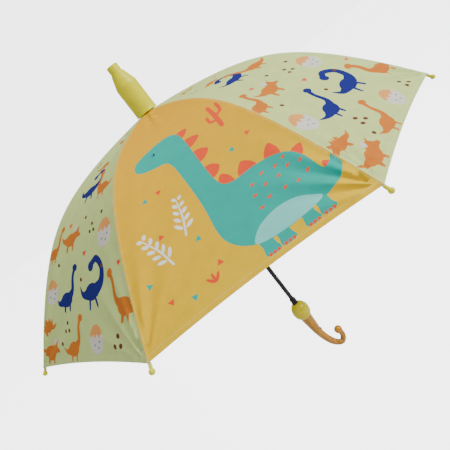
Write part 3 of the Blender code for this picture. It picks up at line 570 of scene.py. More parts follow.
class Gore:
    """One flat gore: its triangles and the colour of each, with the points near a seam moved exactly onto
    it.
    """

    def __init__(self, shape, shapes):
        self.shape = shape
        self.s = shape.s
        self.points = []
        self.edges = []
        self.boundary()
        self.fill()
        self.fan()
        shapes = [(colour, self.within(outline)) for colour, outline in shapes]
        for _, outline in shapes:
            self.outline(outline)
        self.triangulate()
        self.paint(shapes)

    def seam_arcs(self):
        count = round((self.s.rib_arc - self.s.hole_arc) / self.s.grid)
        return np.linspace(self.s.hole_arc, self.s.rib_arc, count + 1)

    def chain(self, places):
        start = len(self.points)
        self.points += places
        self.edges += [(start + k, start + k + 1) for k in range(len(places) - 1)]

    def boundary(self):
        """The seams, the rim, the crown hole, the middle where halves meet, and a line along each hem."""
        arcs = self.seam_arcs()
        half = self.shape.half_width(arcs)
        for side in (-1, 1):
            self.chain([(side * h, a) for h, a in zip(half, arcs)])
            hem = arcs[2:-2]
            self.chain([(side * (h - self.s.hem_width), a)
                        for h, a in zip(self.shape.half_width(hem), hem) if h > 3 * self.s.hem_width])
        self.chain([(0.0, a) for a in np.linspace(self.s.hole_arc, float(self.shape.rim(0)), len(arcs))])
        for end, across in ((self.s.hole_arc, 3), (self.s.rib_arc, 48)):
            for inset in ((0.0, self.s.hem_width) if end == self.s.rib_arc else (0.0,)):
                self.chain([self.rim_place(share, inset) if end == self.s.rib_arc
                            else (share * self.shape.half_width(end), end)
                            for share in np.linspace(-1, 1, across + 1)])

    def rim_place(self, share, inset):
        arc = float(self.shape.rim(share)) - inset
        return share * float(self.shape.half_width(np.array(self.s.rib_arc - inset))), arc

    def fill(self):
        """Evenly spaced points, in staggered rows."""
        step = self.s.grid
        arc = self.s.hole_arc + step
        row = 0
        while arc < self.s.rib_arc - self.s.hem_width - 0.3 * step:
            half = float(self.shape.half_width(np.array(arc)))
            x = -half + (0.9 if row % 2 else 0.45) * step
            while x < half - 0.4 * step:
                near_middle = abs(x) < 0.3 * step
                rim = float(self.shape.rim(x / half)) - self.s.hem_width
                clear = self.corner_reach(x, arc) > self.s.fold_spread
                if clear and arc < rim - 0.4 * step and not near_middle:
                    self.points.append((x, arc))
                x += step
            arc += step * 0.87
            row += 1

    def corner_reach(self, x, arc):
        corner = float(self.shape.half_width(np.array(self.s.rib_arc)))
        return math.hypot(corner - abs(x), self.s.rib_arc - arc)

    def fan(self):
        """Rays of points out of the two corners, so that the folds there keep straight ridges."""
        corner = float(self.shape.half_width(np.array(self.s.rib_arc)))
        margin = self.s.hem_width + 0.0015
        for angle in np.arange(0.06, 1.56, 0.042):
            for reach in np.arange(0.016, self.s.fold_spread, 0.0065):
                x = corner - reach * math.sin(angle)
                arc = self.s.rib_arc - reach * math.cos(angle)
                half = float(self.shape.half_width(np.array(arc)))
                if 0.002 < x < half - margin and arc < float(self.shape.rim(x / half)) - margin:
                    self.points += [(x, arc), (-x, arc)]

    def within(self, outline):
        """The outline kept just inside the seams and the rim, as if the cut ran through the print."""
        kept = []
        for x, down in outline:
            down = min(max(down * MM, self.s.hole_arc + 0.002), self.s.rib_arc - self.s.rim_bow - 0.001)
            room = float(self.shape.half_width(np.array(down))) - 0.001
            x = min(max(x * MM, -room), room)
            rim = float(self.shape.rim(x / (room + 0.001))) - 0.001
            kept.append((x / MM, min(down, rim) / MM))
        return kept

    def outline(self, corners):
        start = len(self.points)
        self.points += [(x * MM, down * MM) for x, down in corners]
        count = len(corners)
        self.edges += [(start + k, start + (k + 1) % count) for k in range(count)]

    def triangulate(self):
        flat = [Vector(place) for place in self.points]
        places, _, faces, *_ = delaunay_2d_cdt(flat, self.edges, [], 0, 1e-6)
        self.flat = np.array([place[:] for place in places])
        half = self.shape.half_width(self.flat[:, 1])
        kept = []
        for face in faces:
            centre = self.flat[list(face)].mean(axis=0)
            room = float(self.shape.half_width(centre[1:2])[0])
            share = centre[0] / room if room > 0 else 2
            if abs(share) < 1 and self.s.hole_arc < centre[1] < float(self.shape.rim(share)):
                kept.append(list(face))
        self.faces = np.array(kept)
        on_seam = np.abs(np.abs(self.flat[:, 0]) - half) < ON_SEAM
        self.flat[on_seam, 0] = np.sign(self.flat[on_seam, 0]) * half[on_seam]

    def paint(self, shapes):
        """The colour of each triangle: the last shape that its middle lies in."""
        self.colour = np.zeros(len(self.faces), int)
        centres = self.flat[self.faces].mean(axis=1) / MM
        for colour, outline in shapes:
            corners = np.array(outline)
            low = corners.min(axis=0)
            high = corners.max(axis=0)
            near = np.all((centres > low) & (centres < high), axis=1)
            inside = np.zeros(len(centres), bool)
            inside[near] = in_polygon(centres[near], corners)
            self.colour[inside] = PRINT_COLOURS.index(colour)


def in_polygon(places, corners):
    """Whether each place lies inside the outline."""
    inside = np.zeros(len(places), bool)
    ahead = np.roll(corners, -1, axis=0)
    for (x0, y0), (x1, y1) in zip(corners, ahead):
        if y0 == y1:
            continue
        crosses = (y0 > places[:, 1]) != (y1 > places[:, 1])
        at = x0 + (places[:, 1] - y0) * (x1 - x0) / (y1 - y0)
        inside ^= crosses & (places[:, 0] < at)
    return inside


class Section:
    """A canopy section: half a gore on each side of a rib, in two layers joined at their edges."""

    def __init__(self, index, shape, gores):
        self.index = index
        self.shape = shape
        self.s = shape.s
        halves = [(index, 1), ((index + 1) % RIBS, -1)]
        self.places, self.normals, self.flats = [], [], []
        self.faces, self.colours, self.corner_normals = [], [], []
        self.lookup = {}
        for gore, side in halves:
            self.add_half(gore, side, gores[gore % 2])
        self.normals = [normal / np.linalg.norm(normal) for normal in self.normals]

    def add_half(self, gore, side, flat):
        centres = flat.flat[flat.faces].mean(axis=1)
        chosen = np.nonzero(centres[:, 0] * side > 0)[0]
        used = sorted({int(point) for face in flat.faces[chosen] for point in face})
        xs = flat.flat[used, 0]
        arcs = flat.flat[used, 1]
        points = self.shape.points(gore, xs, arcs)
        normals = self.shape.normals(gore, xs, arcs)
        half = self.shape.half_width(arcs)
        index_of = {}
        for place, (point, normal, x, arc, room) in enumerate(zip(points, normals, xs, arcs, half)):
            key = ("seam", round(arc * 1e6)) if abs(abs(x) - room) < ON_SEAM else (gore, used[place])
            if key not in self.lookup:
                self.lookup[key] = len(self.places)
                self.places.append(point)
                self.normals.append(np.zeros(3))
                rim = float(self.shape.rim(x / room))
                self.flats.append((x - side * room, arc, room - abs(x), rim - arc))
            self.normals[self.lookup[key]] = self.normals[self.lookup[key]] + normal
            index_of[used[place]] = (self.lookup[key], normal)
        for face, colour in zip(flat.faces[chosen], flat.colour[chosen]):
            corners = [index_of[int(point)] for point in face]
            a, b, c = (self.places[corner[0]] for corner in corners)
            if np.dot(np.cross(b - a, c - a), corners[0][1]) < 0:
                corners.reverse()
            self.faces.append([corner[0] for corner in corners])
            self.corner_normals.append([corner[1] for corner in corners])
            self.colours.append((gore % 2, int(colour)))

    def thickness(self):
        """The hem is folded over, so it's thicker."""
        hem = np.array([flat[3] for flat in self.flats])
        fold = np.clip((self.s.hem_width * 1.15 - hem) / (0.2 * self.s.hem_width), 0, 1)
        return self.s.cloth + self.s.hem_extra * fold

    def open_edges(self):
        seen = {}
        for face in self.faces:
            for a, b in zip(face, face[1:] + face[:1]):
                seen[(a, b)] = True
        return [edge for edge in seen if (edge[1], edge[0]) not in seen]

    def build(self, name, material):
        count = len(self.places)
        places = np.array(self.places)
        offset = np.array(self.normals) * self.thickness()[:, None] / 2
        vertices = np.concatenate([places + offset, places - offset])
        faces = [tuple(face) for face in self.faces]
        faces += [tuple(corner + count for corner in reversed(face)) for face in self.faces]
        strips = [(b, a, a + count, b + count) for a, b in self.open_edges()]
        mesh = bpy.data.meshes.new(name)
        mesh.from_pydata(vertices.tolist(), [], faces + strips)
        mesh.update()
        self.attributes(mesh, count)
        mesh.materials.append(material)
        obj = bpy.data.objects.new(name, mesh)
        bpy.context.collection.objects.link(obj)
        return obj

    def attributes(self, mesh, count):
        """Colour, the two UV maps and the shading normals, corner by corner."""
        tint = mesh.color_attributes.new("print", "FLOAT_COLOR", "CORNER")
        cloth = mesh.uv_layers.new(name="cloth")
        edges = mesh.uv_layers.new(name="edges")
        table = [print_colours(parity) for parity in (0, 1)]
        inner = [print_colours(parity, inside=True) for parity in (0, 1)]
        split = []
        face_count = len(self.faces)
        for polygon in mesh.polygons:
            is_inner = face_count <= polygon.index < 2 * face_count
            source = polygon.index % face_count if polygon.index < 2 * face_count else None
            strip_normal = polygon.normal
            for loop, vertex in zip(polygon.loop_indices, polygon.vertices):
                flat = self.flats[vertex % count]
                cloth.data[loop].uv = (flat[0], flat[1])
                edges.data[loop].uv = (flat[2], flat[3])
                if source is None:
                    split.append(strip_normal)
                    parity = self.index % 2 if flat[0] < 0 else (self.index + 1) % 2
                    tint.data[loop].color = table[parity][0]
                    continue
                parity, colour = self.colours[source]
                tint.data[loop].color = (inner if is_inner else table)[parity][colour]
                corner = self.faces[source].index(vertex % count)
                normal = self.corner_normals[source][corner]
                split.append(-normal if is_inner else normal)
        mesh.normals_split_custom_set([tuple(normal) for normal in split])
        mesh.color_attributes.active_color = tint


def print_colours(parity, inside=False):
    """The print's colours on a yellow gore or a green one. The inside of the cloth shows them paler."""
    tones = colours()
    base = tones.leaf if parity else tones.sun
    table = []
    for name in PRINT_COLOURS:
        colour = base if name == "base" else (1.0, 0.98, 0.9) if name == "white" else getattr(tones, name)
        if inside:
            pale = tones.leaf if parity else tones.sun_painted_light_and_inside
            colour = [0.45 * part + 0.55 * other for part, other in zip(colour, pale)]
        table.append((*colour, 1.0))
    return table


# ---------------------------------------------------------------- materials

def plug(tree, socket, value):
    """Sets a socket to a value, or links another node's output to it."""
    if isinstance(value, bpy.types.NodeSocket):
        tree.links.new(value, socket)
    else:
        socket.default_value = value


def node(tree, kind, **inputs):
    """Adds a node and sets its inputs, each a value or another node's output."""
    made = tree.nodes.new(kind)
    for name, value in inputs.items():
        plug(tree, made.inputs[name.replace("_", " ").title()], value)
    return made


def maths(tree, operation, first, second=0.0, third=0.0, clamp=False):
    made = tree.nodes.new("ShaderNodeMath")
    made.operation = operation
    made.use_clamp = clamp
    for socket, value in zip(made.inputs, (first, second, third)):
        plug(tree, socket, value)
    return made.outputs[0]


def mixed(tree, share, first, second, blend="MIX"):
    made = tree.nodes.new("ShaderNodeMix")
    made.data_type = "RGBA"
    made.blend_type = blend
    for socket, value in zip((made.inputs[0], made.inputs[6], made.inputs[7]), (share, first, second)):
        plug(tree, socket, value)
    return made.outputs[2]


def ranged(tree, value, low, high, to_low=0.0, to_high=1.0):
    made = tree.nodes.new("ShaderNodeMapRange")
    tree.links.new(value, made.inputs[0])
    for socket, number in zip(list(made.inputs)[1:5], (low, high, to_low, to_high)):
        socket.default_value = number
    return made.outputs[0]


def group(name, inputs, outputs):
    """A node group with the named sockets. Each is a name and a socket kind."""
    tree = bpy.data.node_groups.new(name, "ShaderNodeTree")
    for label, kind in inputs:
        tree.interface.new_socket(label, in_out="INPUT", socket_type=kind)
    for label, kind in outputs:
        tree.interface.new_socket(label, in_out="OUTPUT", socket_type=kind)
    return tree, tree.nodes.new("NodeGroupInput"), tree.nodes.new("NodeGroupOutput")


def use_group(tree, name, **inputs):
    made = tree.nodes.new("ShaderNodeGroup")
    made.node_tree = bpy.data.node_groups[name]
    for label, value in inputs.items():
        plug(tree, made.inputs[label.replace("_", " ").title()], value)
    return made


def weave_group():
    """Fine crossing threads, from cloth coordinates in metres."""
    tree, entry, exit_ = group("Weave", [("Vector", "NodeSocketVector"), ("Thread", "NodeSocketFloat")],
                               [("Height", "NodeSocketFloat"), ("Slub", "NodeSocketFloat")])
    split = node(tree, "ShaderNodeSeparateXYZ", Vector=entry.outputs["Vector"])
    waves = []
    for axis in (0, 1):
        turns = maths(tree, "DIVIDE", split.outputs[axis], entry.outputs["Thread"])
        waves.append(maths(tree, "ABSOLUTE",
                           maths(tree, "SINE", maths(tree, "MULTIPLY", turns, math.pi))))
    tree.links.new(maths(tree, "MAXIMUM", *waves), exit_.inputs["Height"])
    noise = node(tree, "ShaderNodeTexNoise", Vector=entry.outputs["Vector"], Scale=60.0, Detail=4.0,
                 Roughness=0.6)
    tree.links.new(noise.outputs["Fac"], exit_.inputs["Slub"])


def stitch_group():
    """Dashes of thread at one distance from an edge, from the distance to it and the way along it."""
    tree, entry, exit_ = group("Stitch", [("Distance", "NodeSocketFloat"), ("Along", "NodeSocketFloat"),
                                          ("Inset", "NodeSocketFloat")], [("Mask", "NodeSocketFloat")])
    off = maths(tree, "ABSOLUTE",
                maths(tree, "SUBTRACT", entry.outputs["Distance"], entry.outputs["Inset"]))
    line = ranged(tree, off, 0.0002, 0.00055, 1.0, 0.0)
    beat = maths(tree, "SINE", maths(tree, "MULTIPLY", entry.outputs["Along"], 2 * math.pi / 0.0034))
    dash = ranged(tree, beat, -0.5, 0.1)
    tree.links.new(maths(tree, "MULTIPLY", line, dash), exit_.inputs["Mask"])


def blotch_group():
    """Broad soft unevenness, fine grain and faint scuffs, all in metres."""
    tree, entry, exit_ = group("Blotches", [("Vector", "NodeSocketVector"), ("Size", "NodeSocketFloat")],
                               [("Broad", "NodeSocketFloat"), ("Fine", "NodeSocketFloat"),
                                ("Scuff", "NodeSocketFloat")])
    scale = maths(tree, "DIVIDE", 1.0, entry.outputs["Size"])
    broad = node(tree, "ShaderNodeTexNoise", Vector=entry.outputs["Vector"], Scale=scale, Detail=3.0)
    tree.links.new(broad.outputs["Fac"], exit_.inputs["Broad"])
    fine = node(tree, "ShaderNodeTexNoise", Vector=entry.outputs["Vector"],
                Scale=maths(tree, "MULTIPLY", scale, 14.0), Detail=5.0, Roughness=0.65)
    tree.links.new(fine.outputs["Fac"], exit_.inputs["Fine"])
    stretched = node(tree, "ShaderNodeMapping", Vector=entry.outputs["Vector"], Scale=(1.0, 1.0, 0.12))
    streak = node(tree, "ShaderNodeTexNoise", Vector=stretched.outputs["Vector"],
                  Scale=maths(tree, "MULTIPLY", scale, 40.0), Detail=2.0)
    tree.links.new(ranged(tree, streak.outputs["Fac"], 0.62, 0.72), exit_.inputs["Scuff"])


def material(name):
    made = bpy.data.materials.new(name)
    made.use_nodes = True
    return made, made.node_tree, made.node_tree.nodes["Principled BSDF"]


def canopy_material():
    """Printed polyester: the print's colours, painted light that makes the yellow ground paler towards the
    rim, a fine weave, a stitched hem and stitched seams.
    """
    made, tree, shader = material("canopy cloth")
    tones = colours()
    tint = tree.nodes.new("ShaderNodeAttribute")
    tint.attribute_name = "print"
    cloth = tree.nodes.new("ShaderNodeUVMap")
    cloth.uv_map = "cloth"
    edges = tree.nodes.new("ShaderNodeUVMap")
    edges.uv_map = "edges"
    place = node(tree, "ShaderNodeSeparateXYZ", Vector=cloth.outputs["UV"])
    rim = node(tree, "ShaderNodeSeparateXYZ", Vector=edges.outputs["UV"])
    weave = use_group(tree, "Weave", vector=cloth.outputs["UV"], thread=0.0009)
    # Painted light: the yellow ground is mixed towards a paler yellow from the middle of the gore out to the
    # rim.
    paler = ranged(tree, place.outputs["Y"], 0.16, 0.46)
    painted_rim_light = maths(tree, "MULTIPLY", is_sunny(tree, tint.outputs["Color"]), paler)
    ground = mixed(tree, painted_rim_light, tint.outputs["Color"], (*tones.sun_painted_light_and_inside, 1.0))
    shade = ranged(tree, weave.outputs["Slub"], 0.3, 0.7, 0.94, 1.03)
    ground = mixed(tree, 1.0, ground, grey(tree, shade), "MULTIPLY")
    hem = use_group(tree, "Stitch", distance=rim.outputs["Y"], along=place.outputs["X"],
                    inset=canopy_settings().hem_width * 0.86)
    seam = use_group(tree, "Stitch", distance=rim.outputs["X"], along=place.outputs["Y"], inset=0.0022)
    threads = maths(tree, "MAXIMUM", hem.outputs["Mask"], seam.outputs["Mask"])
    stitched = mixed(tree, maths(tree, "MULTIPLY", threads, 0.35), ground, (0.98, 0.95, 0.75, 1.0))
    tree.links.new(stitched, shader.inputs["Base Color"])
    tree.links.new(ranged(tree, weave.outputs["Slub"], 0.2, 0.8, 0.62, 0.76), shader.inputs["Roughness"])
    height = maths(tree, "MULTIPLY_ADD", threads, 4.0, weave.outputs["Height"])
    bump = node(tree, "ShaderNodeBump", Height=height, Strength=0.25, Distance=0.00008)
    tree.links.new(bump.outputs["Normal"], shader.inputs["Normal"])
    shader.inputs["Specular IOR Level"].default_value = 0.12
    return made


def grey(tree, value):
    return node(tree, "ShaderNodeCombineColor", Red=value, Green=value, Blue=value).outputs["Color"]


def is_sunny(tree, colour):
    """1 where the print is the ground yellow, by how close its three parts are to it."""
    split = node(tree, "ShaderNodeSeparateColor", Color=colour)
    off = 0.0
    for part, wanted in zip(split.outputs[:3], colours().sun):
        off = maths(tree, "ADD", off, maths(tree, "ABSOLUTE", maths(tree, "SUBTRACT", part, wanted)))
    return ranged(tree, off, 0.02, 0.04, 1.0, 0.0)


def object_place(tree):
    return tree.nodes.new("ShaderNodeTexCoord").outputs["Object"]


def shaded(tree, colour, value, low, high):
    """The colour, darker or lighter by a value between 0 and 1."""
    return mixed(tree, 1.0, (*colour, 1.0), grey(tree, ranged(tree, value, 0.3, 0.7, low, high)),
                 "MULTIPLY")


def plain_material(name, colour, roughness):
    made, tree, shader = material(name)
    blotches = use_group(tree, "Blotches", vector=object_place(tree), size=0.01)
    tree.links.new(shaded(tree, colour, blotches.outputs["Fine"], 0.85, 1.05),
                   shader.inputs["Base Color"])
    shader.inputs["Roughness"].default_value = roughness
    return made


def plastic_material(name, colour, roughness, coat=0.0):
    """Moulded plastic: very slightly uneven, with faint scuffs that catch the light."""
    made, tree, shader = material(name)
    blotches = use_group(tree, "Blotches", vector=object_place(tree), size=0.03)
    tree.links.new(shaded(tree, colour, blotches.outputs["Broad"], 0.95, 1.04),
                   shader.inputs["Base Color"])
    rough = maths(tree, "MULTIPLY_ADD", blotches.outputs["Scuff"], 0.10, roughness)
    fine = ranged(tree, blotches.outputs["Fine"], 0.3, 0.7, -0.03, 0.03)
    tree.links.new(maths(tree, "ADD", rough, fine), shader.inputs["Roughness"])
    bump = node(tree, "ShaderNodeBump", Height=blotches.outputs["Fine"], Strength=0.08, Distance=0.00006)
    tree.links.new(bump.outputs["Normal"], shader.inputs["Normal"])
    shader.inputs["Specular IOR Level"].default_value = 0.3
    shader.inputs["Coat Weight"].default_value = coat
    shader.inputs["Coat Roughness"].default_value = 0.12
    return made


def metal_material(name, colour, roughness):
    """Drawn steel with faint lengthwise streaks and dull patches."""
    made, tree, shader = material(name)
    blotches = use_group(tree, "Blotches", vector=object_place(tree), size=0.012)
    tree.links.new(shaded(tree, colour, blotches.outputs["Broad"], 0.80, 1.06),
                   shader.inputs["Base Color"])
    rough = maths(tree, "MULTIPLY_ADD", blotches.outputs["Broad"], 0.16, roughness - 0.06)
    tree.links.new(maths(tree, "MULTIPLY_ADD", blotches.outputs["Scuff"], 0.08, rough),
                   shader.inputs["Roughness"])
    shader.inputs["Metallic"].default_value = 1.0
    return made


def amber_material():
    """Marbled amber plastic, with painted shade down one side and towards the curl."""
    made, tree, shader = material("amber plastic")
    tones = colours()
    place = object_place(tree)
    blotches = use_group(tree, "Blotches", vector=place, size=0.022)
    split = node(tree, "ShaderNodeSeparateXYZ", Vector=place)
    swirl = tree.nodes.new("ShaderNodeTexWave")
    swirl.wave_type = "BANDS"
    swirl.bands_direction = "X"
    tree.links.new(place, swirl.inputs["Vector"])
    for label, value in (("Scale", 34.0), ("Distortion", 5.0), ("Detail", 2.0), ("Detail Scale", 1.2)):
        swirl.inputs[label].default_value = value
    # Painted shade: darker on the side away from the key light.
    painted_shade_side = ranged(tree, split.outputs["X"], 0.004, -0.012)
    swirl_and_painted_shade = maths(tree, "MULTIPLY_ADD", swirl.outputs["Fac"], 0.35, maths(tree, "MULTIPLY", painted_shade_side, 0.30))
    # Painted shade: darker towards the bottom of the hook and its curl.
    swirl_and_painted_shade = maths(tree, "MULTIPLY_ADD", ranged(tree, split.outputs["Z"], -0.085, -0.10), 0.25, swirl_and_painted_shade,
                 clamp=True)
    colour = mixed(tree, swirl_and_painted_shade, (*tones.amber, 1.0), (*tones.amber_swirl_and_painted_shade, 1.0))
    colour = mixed(tree, 1.0, colour,
                   grey(tree, ranged(tree, blotches.outputs["Broad"], 0.3, 0.7, 0.9, 1.1)),
                   "MULTIPLY")
    tree.links.new(colour, shader.inputs["Base Color"])
    tree.links.new(ranged(tree, blotches.outputs["Fine"], 0.3, 0.7, 0.16, 0.24),
                   shader.inputs["Roughness"])
    shader.inputs["Coat Weight"].default_value = 0.4
    shader.inputs["Coat Roughness"].default_value = 0.08
    return made


# ---------------------------------------------------------------- stage

LIGHTS = (("key", (2.3, -1.1, 1.9), 1.0, 88), ("fill", (-2.2, -1.8, 0.9), 2.5, 18),
          ("top", (0.3, 0.5, 2.9), 2.0, 34))        # name, place, size and power
CAMERA_FORWARD = (-0.0375, 0.9584, -0.2830)
CAMERA_UP = (0.6082, 0.2466, 0.7545)


def build_stage():
    """A pale floor well below the handle, a bright surround, soft lights and the camera."""
    stage = stage_settings()
    bpy.ops.mesh.primitive_plane_add(size=24, location=(0, 0, CAD_BOX[0][2] - stage.floor_drop))
    floor = bpy.context.active_object
    floor.name = "floor"
    floor.data.materials.append(floor_material())
    world = bpy.data.worlds.new("surround")
    bpy.context.scene.world = world
    world.use_nodes = True
    background = world.node_tree.nodes["Background"]
    background.inputs["Color"].default_value = (1.0, 1.0, 1.0, 1.0)
    seen = world.node_tree.nodes.new("ShaderNodeLightPath").outputs["Is Camera Ray"]
    strength = ranged(world.node_tree, seen, 0.0, 1.0, stage.surround, stage.backdrop)
    world.node_tree.links.new(strength, background.inputs["Strength"])
    for lamp in LIGHTS:
        light(*lamp)
    place_camera(stage)


def floor_material():
    """Plain white, as bright as the surround where the camera sees it."""
    made, tree, shader = material("floor")
    shader.inputs["Base Color"].default_value = (0.9, 0.9, 0.9, 1.0)
    shader.inputs["Roughness"].default_value = 0.9
    shader.inputs["Emission Color"].default_value = (1.0, 1.0, 1.0, 1.0)
    seen = tree.nodes.new("ShaderNodeLightPath").outputs["Is Camera Ray"]
    tree.links.new(maths(tree, "MULTIPLY", seen, stage_settings().backdrop),
                   shader.inputs["Emission Strength"])
    return made


def light(name, place, size, power):
    bpy.ops.object.light_add(type="AREA", location=place)
    lamp = bpy.context.active_object
    lamp.name = name
    lamp.data.size = size
    lamp.data.energy = power
    aim = Vector((0, 0, apex_height() - 0.2)) - Vector(place)
    lamp.rotation_euler = aim.to_track_quat("-Z", "Y").to_euler()


def place_camera(stage):
    place = Vector((stage.camera_side, -stage.camera_back, -stage.camera_drop)) * stage.radius
    place.z += apex_height()
    forward = Vector(CAMERA_FORWARD)
    up = Vector(CAMERA_UP)
    right = forward.cross(up).normalized()
    up = right.cross(forward).normalized()
    turn = Matrix((right, up, -forward)).transposed().to_4x4()
    data = bpy.data.cameras.new("camera")
    data.lens = stage.lens
    camera = bpy.data.objects.new("camera", data)
    bpy.context.collection.objects.link(camera)
    camera.matrix_world = Matrix.Translation(place) @ turn
    bpy.context.scene.camera = camera


# ---------------------------------------------------------------- hard pieces

def deselect():
    bpy.ops.object.select_all(action="DESELECT")


def pick(piece):
    """Makes the piece the only one selected, and the active one."""
    deselect()
    piece.select_set(True)
    bpy.context.view_layer.objects.active = piece


def begin_ring(name, radius, sides):
    """A ring of points at the origin, open for editing."""
    deselect()
    bpy.ops.mesh.primitive_circle_add(vertices=sides, radius=radius, fill_type="NOTHING",
                                      location=(0, 0, 0))
    piece = bpy.context.active_object
    piece.name = name
    piece.data.name = name
    bpy.ops.object.mode_set(mode="EDIT")
    bpy.ops.mesh.select_all(action="SELECT")
    return piece


def end_piece(piece, crease=35.0):
    """Closes the ends, turns the faces outward and smooths the shading."""
    bpy.ops.mesh.select_all(action="SELECT")
    bpy.ops.mesh.remove_doubles(threshold=0.000002)
    bpy.ops.mesh.fill_holes(sides=0)
    bpy.ops.mesh.select_all(action="SELECT")
    bpy.ops.mesh.normals_make_consistent(inside=False)
    bpy.ops.object.mode_set(mode="OBJECT")
    bpy.ops.object.shade_smooth_by_angle(angle=math.radians(crease))
    return piece


def turned_piece(name, rings, sides=48, crease=35.0):
    """A round piece: one ring pulled out to the next. Each ring is a radius and a height."""
    piece = begin_ring(name, rings[0][0], sides)
    bpy.ops.transform.translate(value=(0, 0, rings[0][1]))
    for (radius, low), (wider, high) in zip(rings, rings[1:]):
        bpy.ops.mesh.extrude_region_move(TRANSFORM_OT_translate={"value": (0, 0, high - low)})
        bpy.ops.transform.resize(value=(wider / radius, wider / radius, 1), center_override=(0, 0, high))
    return end_piece(piece, crease)


def arc_rings(centre_r, centre_z, radius, start, end, steps):
    """Rings round part of a circle in the profile. Angles are in degrees from straight out."""
    rings = []
    for step in range(steps + 1):
        angle = math.radians(start + (end - start) * step / steps)
        rings.append((centre_r + radius * math.cos(angle), centre_z + radius * math.sin(angle)))
    return rings


def swept_piece(name, route, sides=28):
    """A round rod along a route in the plane of x and z. Each place is x, z and a radius."""
    piece = begin_ring(name, route[0][2], sides)
    bpy.ops.transform.translate(value=(route[0][0], 0, route[0][1]))
    heading = -math.pi / 2
    for index in range(1, len(route)):
        x, z, radius = route[index]
        before = route[index - 1]
        after = route[min(index + 1, len(route) - 1)]
        turn = math.atan2(after[1] - before[1], after[0] - before[0])
        step = (turn - heading + math.pi) % (2 * math.pi) - math.pi
        heading = turn
        bpy.ops.mesh.extrude_region_move(TRANSFORM_OT_translate={"value": (x - before[0], 0,
                                                                           z - before[1])})
        bpy.ops.transform.rotate(value=step, orient_axis="Y", center_override=(x, 0, z))
        share = radius / before[2]
        bpy.ops.transform.resize(value=(share, share, share), center_override=(x, 0, z))
    return end_piece(piece, 60.0)


def smooth_route(points, steps):
    """Places along a smooth curve through the given ones."""
    ends = with_ends(points)
    route = []
    for index in range(1, len(ends) - 2):
        route += [between(*ends[index - 1:index + 3], step / steps) for step in range(steps)]
    return route + [ends[-2]]


def ball_piece(name, centre, radius):
    deselect()
    bpy.ops.mesh.primitive_ico_sphere_add(subdivisions=4, radius=radius, location=(0, 0, 0))
    piece = bpy.context.active_object
    piece.name = name
    bpy.ops.object.mode_set(mode="EDIT")
    bpy.ops.mesh.select_all(action="SELECT")
    bpy.ops.transform.translate(value=centre)
    bpy.ops.object.mode_set(mode="OBJECT")
    return piece


def joined(first, *others):
    """Joins pieces that run into each other into one closed body."""
    for other in others:
        pick(first)
        union = first.modifiers.new("union", "BOOLEAN")
        union.operation = "UNION"
        union.solver = "EXACT"
        union.object = other
        bpy.ops.object.modifier_apply(modifier="union")
        bpy.data.objects.remove(other, do_unlink=True)
    return first


def give(piece, looks):
    piece.data.materials.clear()
    piece.data.materials.append(looks)


def node_body(name):
    bodies = frame["record"]["behaviour"]["bodies"]
    return next(body for body, members in bodies.items() if name in members)


def smooth_copy(name, looks, crease=32.0):
    """A copy of a frame node with its doubled points merged and its round faces shaded smooth."""
    source = frame["nodes"][name]
    copy = bpy.data.objects.new(f"{name}_shown", source.data.copy())
    bpy.context.collection.objects.link(copy)
    pick(copy)
    bpy.ops.object.mode_set(mode="EDIT")
    bpy.ops.mesh.select_all(action="SELECT")
    bpy.ops.mesh.remove_doubles(threshold=0.00001)
    bpy.ops.object.mode_set(mode="OBJECT")
    bpy.ops.object.shade_smooth_by_angle(angle=math.radians(crease))
    give(copy, looks)
    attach(copy, node_body(name))
    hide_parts(name)
    return copy


# ---------------------------------------------------------------- drip cover

def cover_profile(s):
    """The outer sleeve: a nearly straight tube with a low band at its foot, a cone and a lip at the neck."""
    top = apex_height() + s.cover_top
    bottom = apex_height() + s.cover_base
    wall = s.cover_wall
    low = top - s.shoulder_length
    soft = s.shoulder_soft
    wide = s.cover_base_r
    straight = bottom + 0.0032
    outer = [(wide - 0.0006, bottom), (wide, bottom + 0.0007), (wide, bottom + 0.0026),
             (wide - 0.0003, straight)]
    steps = 10
    for step in range(1, steps):
        share = step / steps
        radius = wide - 0.0003 + (s.shoulder_r - wide + 0.0003) * share
        outer.append((radius, straight + (low - soft - straight) * share))
    cone = (s.shoulder_r - s.neck_r - wall) / s.shoulder_length
    for step in range(7):
        share = step / 6
        outer.append((s.shoulder_r - cone * soft * share ** 2, low - soft + 2 * soft * share))
    lip = s.neck_r + wall + 0.0002
    outer += [(lip + cone * soft, top - soft), (lip + 0.0002, top - 0.0008), (lip, top)]
    inner = [(s.neck_r + GAP, top), (s.neck_r + GAP, top - 2 * wall), (s.shoulder_r - wall, low - soft),
             (wide - wall, bottom)]
    return outer + inner + outer[:1]


def cover_tip_profile(s):
    """The smooth round neck that stands out of the sleeve, hollow underneath to sit on the ferrule."""
    top = apex_height() + s.neck_top
    base = apex_height() + s.neck_base
    edge = s.neck_edge
    bore = s.ferrule_r + GAP
    seat = apex_height() + s.ferrule_top + GAP
    rings = [(AXIS_R, seat), (bore, seat), (bore, base), (s.neck_r, base)]
    rings += arc_rings(s.neck_r - edge, top - edge, edge, 0, 80, 6)
    return rings + [(s.neck_r * 0.45, top + 0.00012), (AXIS_R, top + 0.0002)]


def handle_rings(s):
    """The bulb's outline, with a faint raised line round its middle."""
    high = math.acos(s.bulb_top_r / s.bulb_r)
    low = -math.acos(s.bulb_low_r / s.bulb_r)
    rings = [(AXIS_R, s.bulb_half * math.sin(low) + 0.0005)]
    for step in range(29):
        turn = low + (high - low) * step / 28
        line = 0.00015 * math.exp(-(turn / 0.03) ** 2)
        rings.append((s.bulb_r * math.cos(turn) + line, s.bulb_half * math.sin(turn)))
    return rings + [(AXIS_R, s.bulb_half * math.sin(high) - 0.0004)]


